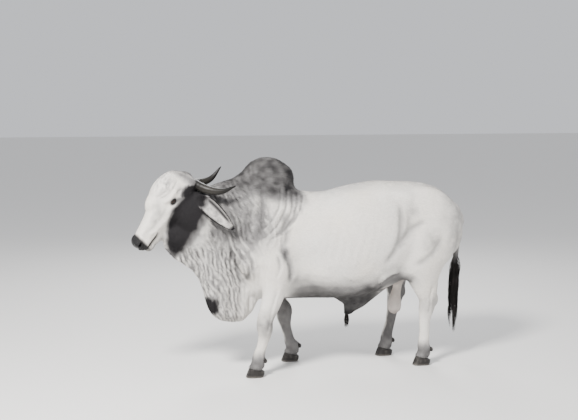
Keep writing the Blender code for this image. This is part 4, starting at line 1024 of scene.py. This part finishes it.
def grown_coat(name, tree, skin, slot, **inputs):
    """The tree's result on that skin, as a plain mesh."""
    piece = bpy.data.objects.new(name, skin)
    world.link(piece)
    coat = piece.modifiers.new("coat", "NODES")
    coat.node_group = tree
    for item in tree.interface.items_tree:
        if item.in_out == "INPUT" and item.name in inputs:
            value = inputs[item.name]
            if isinstance(value, str):
                coat[item.identifier + "_use_attribute"] = True
                coat[item.identifier + "_attribute_name"] = value
            else:
                coat[item.identifier] = value
    set_in_stone(piece)
    for extra in SKIN_VALUES:
        if extra in piece.data.attributes:
            piece.data.attributes.remove(piece.data.attributes[extra])
    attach(piece, "root")
    return piece


COAT = hair_finish()
TUFTS = coat_tree("tufts", COAT)
for name, slot, where, density, width, thick, seed in (
    ("coat_face", "head_coat", "on_face", 56000.0, 0.0015, 0.0005, 1),
    ("coat_forehand", "neck_coat", "on_forehand", 24500.0, 0.0026, 0.0008, 2),
    ("coat_forehand_over", "neck_coat", "on_forehand", 24500.0, 0.0026, 0.0008, 3),
    ("coat_trunk", "torso_coat", "on_trunk", 17000.0, 0.0025, 0.0007, 4),
    ("coat_trunk_over", "torso_coat", "on_trunk", 17000.0, 0.0025, 0.0007, 5),
    ("coat_legs", "leg_coat", "on_legs", 40000.0, 0.0016, 0.0006, 6),
):
    sizes = {"Tufts per square metre": density, "Width": width, "Thickness": thick}
    grown_coat(name, TUFTS, hide.data, slot, Seed=seed, Where=where, **sizes)


# The tail's switch and the tuft of the sheath. Long dark hair in many fine strands, gathered into pointed
# clumps that hang from the end of the tail and from the tip of the sheath.

DARK_HAIR = (0.022, 0.019, 0.018)
GOLDEN_TURN = 2.39996  # radians from one clump to the next, so that none hide behind others


def clump_path(chance, axis, share, angle, shape, t):
    """The middle line of one clump: out from the core it grows on, then down and in again."""
    start = shape.top - shape.depth * share
    long = shape.length * chance.uniform(0.62, 1.0)
    reach = shape.spread * (0.35 + 0.65 * math.sqrt(chance.random()))
    turn = angle + chance.uniform(-0.5, 0.5) * t
    bow = np.sin(np.pi * np.minimum(0.5, t * 0.85)) * (1 - 0.45 * t**2.5)
    radius = 0.6 * shape.core + (reach - 0.4 * shape.core) * bow
    wave = 0.005 * np.sin(t * chance.uniform(4, 8) + angle) * t
    x, y = axis(start)
    return np.stack([x + radius * np.cos(turn) + wave, y + radius * np.sin(turn), start - long * t], 1)


def strand_path(chance, heart, shape, t):
    """One strand of a clump, which strays round the clump's middle line and closes on it at the tip."""
    about, wide = chance.uniform(0, 2 * math.pi), chance.uniform(0.1, 1) ** 0.5
    size = shape.spread / 0.04
    loose = wide * (0.010 * size) * np.minimum(1, 0.5 + 2 * t) * (1 - 0.80 * t**1.5)
    fly = chance.normal(0, 0.0035, 2) * size
    drop = chance.uniform(-0.02, 0.01) * (shape.length / 0.3)
    stray_x = loose * math.cos(about) + fly[0] * t**2
    stray_y = loose * math.sin(about) + fly[1] * t**2
    return heart + np.stack([stray_x, stray_y, drop * t + 0.012 * chance.random() * (1 - t)], 1)


def locks(name, axis, clumps, strands, seed, **sizes):
    """Strands of four-sided section, in clumps that hang from a root, widen and taper to a point."""
    shape = SimpleNamespace(**sizes)
    chance = np.random.default_rng(seed)
    rings, sides = 10, 4
    t = np.linspace(0, 1, rings)
    verts, faces, along, shades = [], [], [], []
    for c in range(clumps):
        angle = c * GOLDEN_TURN
        heart = clump_path(chance, axis, (c + 0.5) / clumps, angle, shape, t)
        across = np.array((-math.sin(angle), math.cos(angle), 0))
        out = np.array((math.cos(angle), math.sin(angle), 0))
        for k in range(strands):
            centre = strand_path(chance, heart, shape, t)
            thick = shape.width * chance.uniform(0.6, 1.25) * (1 - 0.92 * t**2)
            first = len(verts)
            for i in range(rings):
                for side in range(sides):
                    a = 2 * math.pi * side / sides
                    aside = across * thick[i] * math.cos(a)
                    verts.append(centre[i] + aside + out * thick[i] * 0.6 * math.sin(a))
                    along.append((t[i], (c + k / strands) / clumps))
            shades += [chance.random()] * (rings * sides)
            for i in range(rings - 1):
                for side in range(sides):
                    a, b = first + i * sides + side, first + i * sides + (side + 1) % sides
                    faces.append((a, b, b + sides, a + sides))
            faces.append(tuple(range(first + sides - 1, first - 1, -1)))
            faces.append(tuple(range(first + (rings - 1) * sides, first + rings * sides)))
    data = bpy.data.meshes.new(name)
    data.from_pydata([tuple(v) for v in verts], [], faces)
    store(data, "shade", "FLOAT", np.array(shades))
    coloured(data, np.array(DARK_HAIR) * (0.7 + 0.9 * cloud(np.array(verts), 0.05, seed)[:, None] ** 2))
    chart = data.uv_layers.new(name="OFBake")
    where = np.array([along[loop.vertex_index] for loop in data.loops])
    chart.data.foreach_set("uv", (np.array((0.01, 0.01)) + where * np.array((0.2, 0.9))).ravel())
    piece = bpy.data.objects.new(name, data)
    world.link(piece)
    data.materials.append(COAT)
    return piece


def tail_axis(z):
    """Where the tail's middle is at that height."""
    return float(np.interp(z, (0.30, 0.64, 0.78, 0.92), (1.2988, 1.2988, 1.3068, 1.3208))), -0.006


# A core of that radius and depth, and how wide, long and thick the locks that hang from it are
sizes = {"top": 0.86, "core": 0.017, "depth": 0.36, "spread": 0.048, "length": 0.30, "width": 0.0013}
switch = locks("switch", tail_axis, clumps=44, strands=26, seed=11, **sizes)
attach(switch, "root")
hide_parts("tail_switch")


def sheath_axis(z):
    """The middle of the sheath's tip, the same at each height."""
    return 0.3648, 0.0


sizes = {"top": 0.414, "core": 0.015, "depth": 0.020, "spread": 0.016, "length": 0.105, "width": 0.0009}
tuft = locks("tuft", sheath_axis, clumps=22, strands=11, seed=5, **sizes)
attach(tuft, "root")
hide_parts("sheath_tuft")


# The eyes. Large dark globes set in heavy lids, the pupil a level slot, the whole wet. The lashes are
# separate hairs, long and dark along the upper lid, few along the lower.


def eye(side):
    """A globe with the iris and the slot of the pupil as its colour."""
    mesh = bmesh.new()
    bmesh.ops.create_uvsphere(mesh, u_segments=64, v_segments=48, radius=EYE_RADIUS - 0.0006)
    mesh.transform(Matrix.Rotation(math.radians(90 * -side), 4, "X"))
    mesh.transform(HEAD @ Matrix.Translation((EYE[0], side * EYE[1], EYE[2])))
    ball = new_piece("eyeball_left" if side == LEFT else "eyeball_right", mesh)
    points, _ = places(ball.data)
    far = from_eye(on_head(points), side) / EYE_RADIUS
    tilt = math.radians(-20)
    u = far[:, 0] * math.cos(tilt) - far[:, 2] * math.sin(tilt)
    w = far[:, 0] * math.sin(tilt) + far[:, 2] * math.cos(tilt)
    wide = np.hypot(u, w)
    iris = 1 - ramp(wide, 0.60, 0.68)
    pupil = 1 - ramp(np.sqrt((u / 0.34) ** 2 + (w / 0.20) ** 2), 0.85, 1.15)
    streaks = 0.75 + 0.5 * np.abs(np.sin(19 * np.arctan2(w, u) + 3 * wide))
    colour = np.array((0.20, 0.165, 0.14)) * (1 - iris[:, None])
    colour = colour + np.array((0.040, 0.019, 0.010)) * (iris * streaks * (0.6 + 0.7 * wide))[:, None]
    colour = colour * (1 - pupil[:, None]) + np.array((0.002, 0.002, 0.003)) * pupil[:, None]
    coloured(ball.data, colour)
    ball.data.shade_smooth()
    return ball


def eye_finish():
    """A wet surface over the painted iris."""
    material, tree, shader, where, paint = finish_of("eye")
    tone = tinted(tree, paint, grain(tree, where, 900), 0.8, 1.2)
    wired(shader, {"Base Color": tone, "Roughness": 0.06, "Specular IOR Level": 0.42})
    return material


EYE_FINISH = eye_finish()
for side, name in ((LEFT, "eye_left"), (RIGHT, "eye_right")):
    ball = eye(side)
    ball.data.materials.append(EYE_FINISH)
    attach(ball, "root")
    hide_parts(name)


def walled(mesh, rings):
    """Faces between each ring of corners and the next."""
    for a, b in zip(rings, rings[1:]):
        for k in range(len(a)):
            after = (k + 1) % len(a)
            mesh.faces.new((a[k], a[after], b[after], b[k]))


UPPER_LASHES, LOWER_LASHES = 62, 24


def lashes(side):
    """Curved three-sided hairs along both lids."""
    chance = np.random.default_rng(21 + side)
    mesh = bmesh.new()
    for k in range(UPPER_LASHES + LOWER_LASHES):
        upper = k < UPPER_LASHES
        u = chance.uniform(-0.018, 0.018)
        v = LID_RISE * (1 - abs(u / LID_HALF) ** 2.2) if upper else -LID_DROP * (1 - (u / LID_HALF) ** 2)
        out = math.sqrt(max(EYE_RADIUS**2 - u * u - v * v, 0)) + 0.0012
        long = chance.uniform(0.011, 0.019) if upper else chance.uniform(0.005, 0.009)
        rise = 0.35 if upper else -0.5
        rings = []
        for t in (0, 0.35, 0.7, 1):
            reach = long * t
            pu = u * (1 + 0.35 * t) + chance.uniform(-0.0008, 0.0008) * t
            pv = v + rise * reach * (0.25 + 0.9 * t)
            po = out + reach * (0.95 - 0.25 * t)
            x = EYE[0] + pu * math.cos(LID_TILT) + pv * math.sin(LID_TILT)
            z = EYE[2] - pu * math.sin(LID_TILT) + pv * math.cos(LID_TILT)
            centre = Vector((x, side * (EYE[1] + po), z))
            thick = 0.00042 * (1 - 0.85 * t)
            corners = [(thick, 0), (-thick * 0.5, thick * 0.87), (-thick * 0.5, -thick * 0.87)]
            rings.append([mesh.verts.new(HEAD @ (centre + Vector((a, 0, b)))) for a, b in corners])
        walled(mesh, rings)
        mesh.faces.new(rings[0])
        mesh.faces.new(rings[-1])
    bmesh.ops.recalc_face_normals(mesh, faces=mesh.faces)
    piece = new_piece("lashes_left" if side == LEFT else "lashes_right", mesh)
    count = len(piece.data.vertices)
    store(piece.data, "markings_and_shade", "FLOAT_COLOR", np.tile((0.012, 0.010, 0.010, 1.0), (count, 1)))
    store(piece.data, "shade", "FLOAT", np.full(count, 0.5))
    chart = piece.data.uv_layers.new(name="OFBake")
    where = np.array([(loop.vertex_index % 12 // 3, loop.vertex_index // 12) for loop in piece.data.loops])
    chart.data.foreach_set("uv", (0.01 + where * (0.001, 0.005)).ravel())
    piece.data.materials.append(COAT)
    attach(piece, "root")


lashes(LEFT)
lashes(RIGHT)


# The horns. Hollow sheaths of dark horn that curve out and back from the poll, ringed at the root by each
# year's growth and polished towards the tip.

HORN_ROOT = (0.209, 0.088, -0.030)
HORN_PATHS = {
    LEFT: [(-0.03, 0.03, 0.015), (0.06, -0.055, -0.033), (0.17, -0.100, -0.050), (0.280, -0.110, -0.010)],
    RIGHT: [(-0.02, -0.035, 0.0), (0.075, 0.052, -0.020), (0.180, 0.085, 0.005), (0.265, 0.090, 0.100)],
}
HORN_RADII = [0.036, 0.034, 0.024, 0.006]
HORN_RINGS = 15


def smooth_path(rows, steps):
    """Rows of numbers made denser along a curve through each of them."""
    rows = np.array(rows, float)
    padded = np.vstack([2 * rows[0] - rows[1], rows, 2 * rows[-1] - rows[-2]])
    out = []
    for i in range(len(rows) - 1):
        p0, p1, p2, p3 = padded[i : i + 4]
        for t in np.arange(steps) / steps:
            bent = 2 * p1 + (p2 - p0) * t + (2 * p0 - 5 * p1 + 4 * p2 - p3) * t**2
            out.append(0.5 * (bent + (3 * p1 - p0 - 3 * p2 + p3) * t**3))
    out.append(rows[-1])
    return np.array(out)


def horn(side):
    """A sheath along a curved path, ringed near its root, its tip closed to a blunt point."""
    x, y, z = HORN_ROOT
    root = HEAD @ Vector((x, side * y, z))
    rows = smooth_path([(*(root + Vector(p)), r) for p, r in zip(HORN_PATHS[side], HORN_RADII)], 40)
    chance = np.random.default_rng(8 + side)
    mesh = bmesh.new()
    rings, turns = [], 40
    centres = rows[:, :3]
    tangents = np.gradient(centres, axis=0)
    for i, (centre, tangent, radius) in enumerate(zip(centres, tangents, rows[:, 3])):
        t = i / (len(rows) - 1)
        along = Vector(tangent).normalized()
        across = (Vector((0, 1, 0)) - along * along.y).normalized()
        third = along.cross(across)
        year = abs(math.sin(math.pi * (t * HORN_RINGS + 0.5 * math.sin(9 * t))))
        ripple = 1 - 0.030 * (1 - t) ** 1.5 * year - 0.004 * chance.random()
        ring = []
        for k in range(turns):
            a = 2 * math.pi * k / turns
            flute = 1 - 0.006 * math.sin(7 * a + 5 * t) * (1 - t)
            r = (radius - 0.0012) * ripple * flute * (1 - 0.25 * max(0, t - 0.96) / 0.04)
            corner = Vector(centre) + across * r * math.cos(a) + third * r * math.sin(a)
            ring.append(mesh.verts.new(corner))
        rings.append(ring)
    walled(mesh, rings)
    for ring, step in ((rings[0], -0.002), (rings[-1], 0.004)):
        end = sum((v.co for v in ring), Vector()) / turns
        end += Vector(tangents[0 if step < 0 else -1]).normalized() * step
        tip = mesh.verts.new(end)
        for k in range(turns):
            mesh.faces.new((ring[k], ring[(k + 1) % turns], tip))
    bmesh.ops.recalc_face_normals(mesh, faces=mesh.faces)
    piece = new_piece("horn_sheath_left" if side == LEFT else "horn_sheath_right", mesh)
    share = np.zeros(len(piece.data.vertices))
    share[: len(rows) * turns] = np.repeat(np.arange(len(rows)) / (len(rows) - 1), turns)
    share[-1] = 1
    pale = bell(share - 0.45, 0.22) * 0.5
    base = np.array((0.007, 0.0065, 0.006))
    colour = base + pale[:, None] * np.array((0.022, 0.019, 0.015))
    coloured(piece.data, colour)
    piece.data.shade_smooth()
    return piece


def horn_finish(name, rough):
    """Dark horn with fine streaks along it, more or less polished."""
    material, tree, shader, where, paint = finish_of(name)
    streaks = grain(tree, where, 60, 6, 0.65)
    tone = tinted(tree, paint, streaks, 0.55, 1.6)
    tone = tinted(tree, tone, grain(tree, where, 400, 3, 0.6), 0.8, 1.2)
    relief = bumped(tree, streaks, 0.0010, 0.6)
    wired(shader, {"Base Color": tone, "Normal": relief, "Roughness": rough, "Specular IOR Level": 0.22})
    return material


HORN_FINISH = horn_finish("horn", 0.42)
for side, name in ((LEFT, "horn_left"), (RIGHT, "horn_right")):
    piece = horn(side)
    piece.data.materials.append(HORN_FINISH)
    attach(piece, "root")
    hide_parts(name)


# The hooves. Two claws of grey-black horn on each foot, ringed along the coronet and worn paler at the
# ground, and two dewclaws behind. Each set is the solids' claws made one even mesh.

CLAWS = [name for name in solids if name.startswith("claw")]
DEWCLAWS = [name for name in solids if name.startswith("dewclaw")]
HORN_GRAIN = 0.0021
CORONET_SLOPE = 0.24


def hoof_horn(name, sources, ring):
    """Claws as one even mesh, with growth rings of that spacing and a worn, paler edge."""
    whole = bmesh.new()
    for source in sources:
        whole.from_mesh(solids[source].data)
    bmesh.ops.remove_doubles(whole, verts=whole.verts, dist=0.00001)
    piece = new_piece(name, whole)
    modified(piece, "REMESH", mode="VOXEL", voxel_size=HORN_GRAIN)
    modified(piece, "SMOOTH", factor=0.5, iterations=8)
    points, normals = places(piece.data)
    x, y, z = points.T
    growth = (z + CORONET_SLOPE * x) / ring + 0.25 * cloud(points, 0.03, 51)
    wall = ramp(z, 0.010, 0.022) * (np.abs(normals[:, 2]) < 0.8)
    move = -0.0005 * wall * np.abs(np.sin(math.pi * growth)) - 0.0006 + 0.0005 * cloud(points, 0.006, 52)
    points = points + normals * move[:, None]
    points[:, 2] = np.maximum(points[:, 2], 0.0)
    piece.data.vertices.foreach_set("co", points.ravel())
    base = np.array((0.020, 0.018, 0.017))
    worn = (1 - ramp(z, 0.004, 0.020)) * 0.06 + 0.03 * np.clip(cloud(points, 0.02, 53), 0, 1)
    colour = base + worn[:, None] * np.array((1.0, 0.92, 0.82))
    colour *= (0.85 + 0.3 * np.abs(np.sin(math.pi * growth)))[:, None]
    coloured(piece.data, colour)
    piece.data.shade_smooth()
    piece.data.materials.append(HOOF_FINISH)
    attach(piece, "root")
    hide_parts(*sources)
    return piece


HOOF_FINISH = horn_finish("hoof", 0.5)
hoof_horn("hooves", CLAWS, 0.0085)
hoof_horn("dewclaws", DEWCLAWS, 0.006)


# The studio. A pale floor, a key light from the left front, a weak fill and a rim light, and the camera
# as the drawing's own view, worked out from the proportions of the bull.


FLOOR_COLOUR = (0.775, 0.765, 0.745)


def floor():
    """A wide, dull floor at the level of the hooves."""
    mesh = bmesh.new()
    bmesh.ops.create_grid(mesh, x_segments=2, y_segments=2, size=60)
    piece = new_piece("studio_floor", mesh)
    material = bpy.data.materials.new("studio_floor")
    material.use_nodes = True
    shader = material.node_tree.nodes["Principled BSDF"]
    wired(shader, {"Base Color": (*FLOOR_COLOUR, 1), "Roughness": 0.7})
    piece.data.materials.append(material)
    return piece


def lamp(name, place, aim, size, power, colour=(1, 1, 1)):
    """A round soft light that points at its aim."""
    data = bpy.data.lights.new(name, "AREA")
    data.shape = "DISK"
    data.size = size
    data.energy = power
    data.color = colour
    light = bpy.data.objects.new(name, data)
    light.location = place
    light.rotation_euler = (Vector(aim) - Vector(place)).to_track_quat("-Z", "Y").to_euler()
    world.link(light)
    return light


studio = [
    floor(),
    lamp("key", (-3.4, -3.8, 5.6), (-0.1, 0, 0.9), 1.5, 1150, (1, 0.985, 0.96)),
    lamp("fill", (5.0, -4.2, 2.6), (0.4, 0, 0.8), 3.5, 70, (0.96, 0.98, 1)),
    lamp("rim", (1.2, 5.0, 4.6), (0, 0, 1.2), 2.5, 220),
]
sky = bpy.data.worlds.new("studio_air")
bpy.context.scene.world = sky
sky.use_nodes = True
sky.node_tree.nodes["Background"].inputs["Color"].default_value = (0.93, 0.95, 1, 1)
sky.node_tree.nodes["Background"].inputs["Strength"].default_value = 0.80

PHOTO_WIDTH = 578
FOCAL = 1000.0  # both in pixels
AZIMUTH = math.radians(-15)
DISTANCE, EYE_LEVEL = 7.9, 2.1
FILM = 36
lens = bpy.data.cameras.new("camera")
lens.sensor_width = FILM
lens.lens = FILM * FOCAL / PHOTO_WIDTH
camera = bpy.data.objects.new("camera", lens)
across = Vector((math.cos(AZIMUTH), math.sin(AZIMUTH), 0))
back = Vector((math.sin(AZIMUTH), -math.cos(AZIMUTH), 0))
camera.location = back * DISTANCE + Vector((-0.0292, 0, EYE_LEVEL)) - across * (0.011 * DISTANCE)
aim = -back - Vector((0, 0, 0.105))
camera.rotation_euler = aim.to_track_quat("-Z", "Y").to_euler()
world.link(camera)
bpy.context.scene.camera = camera
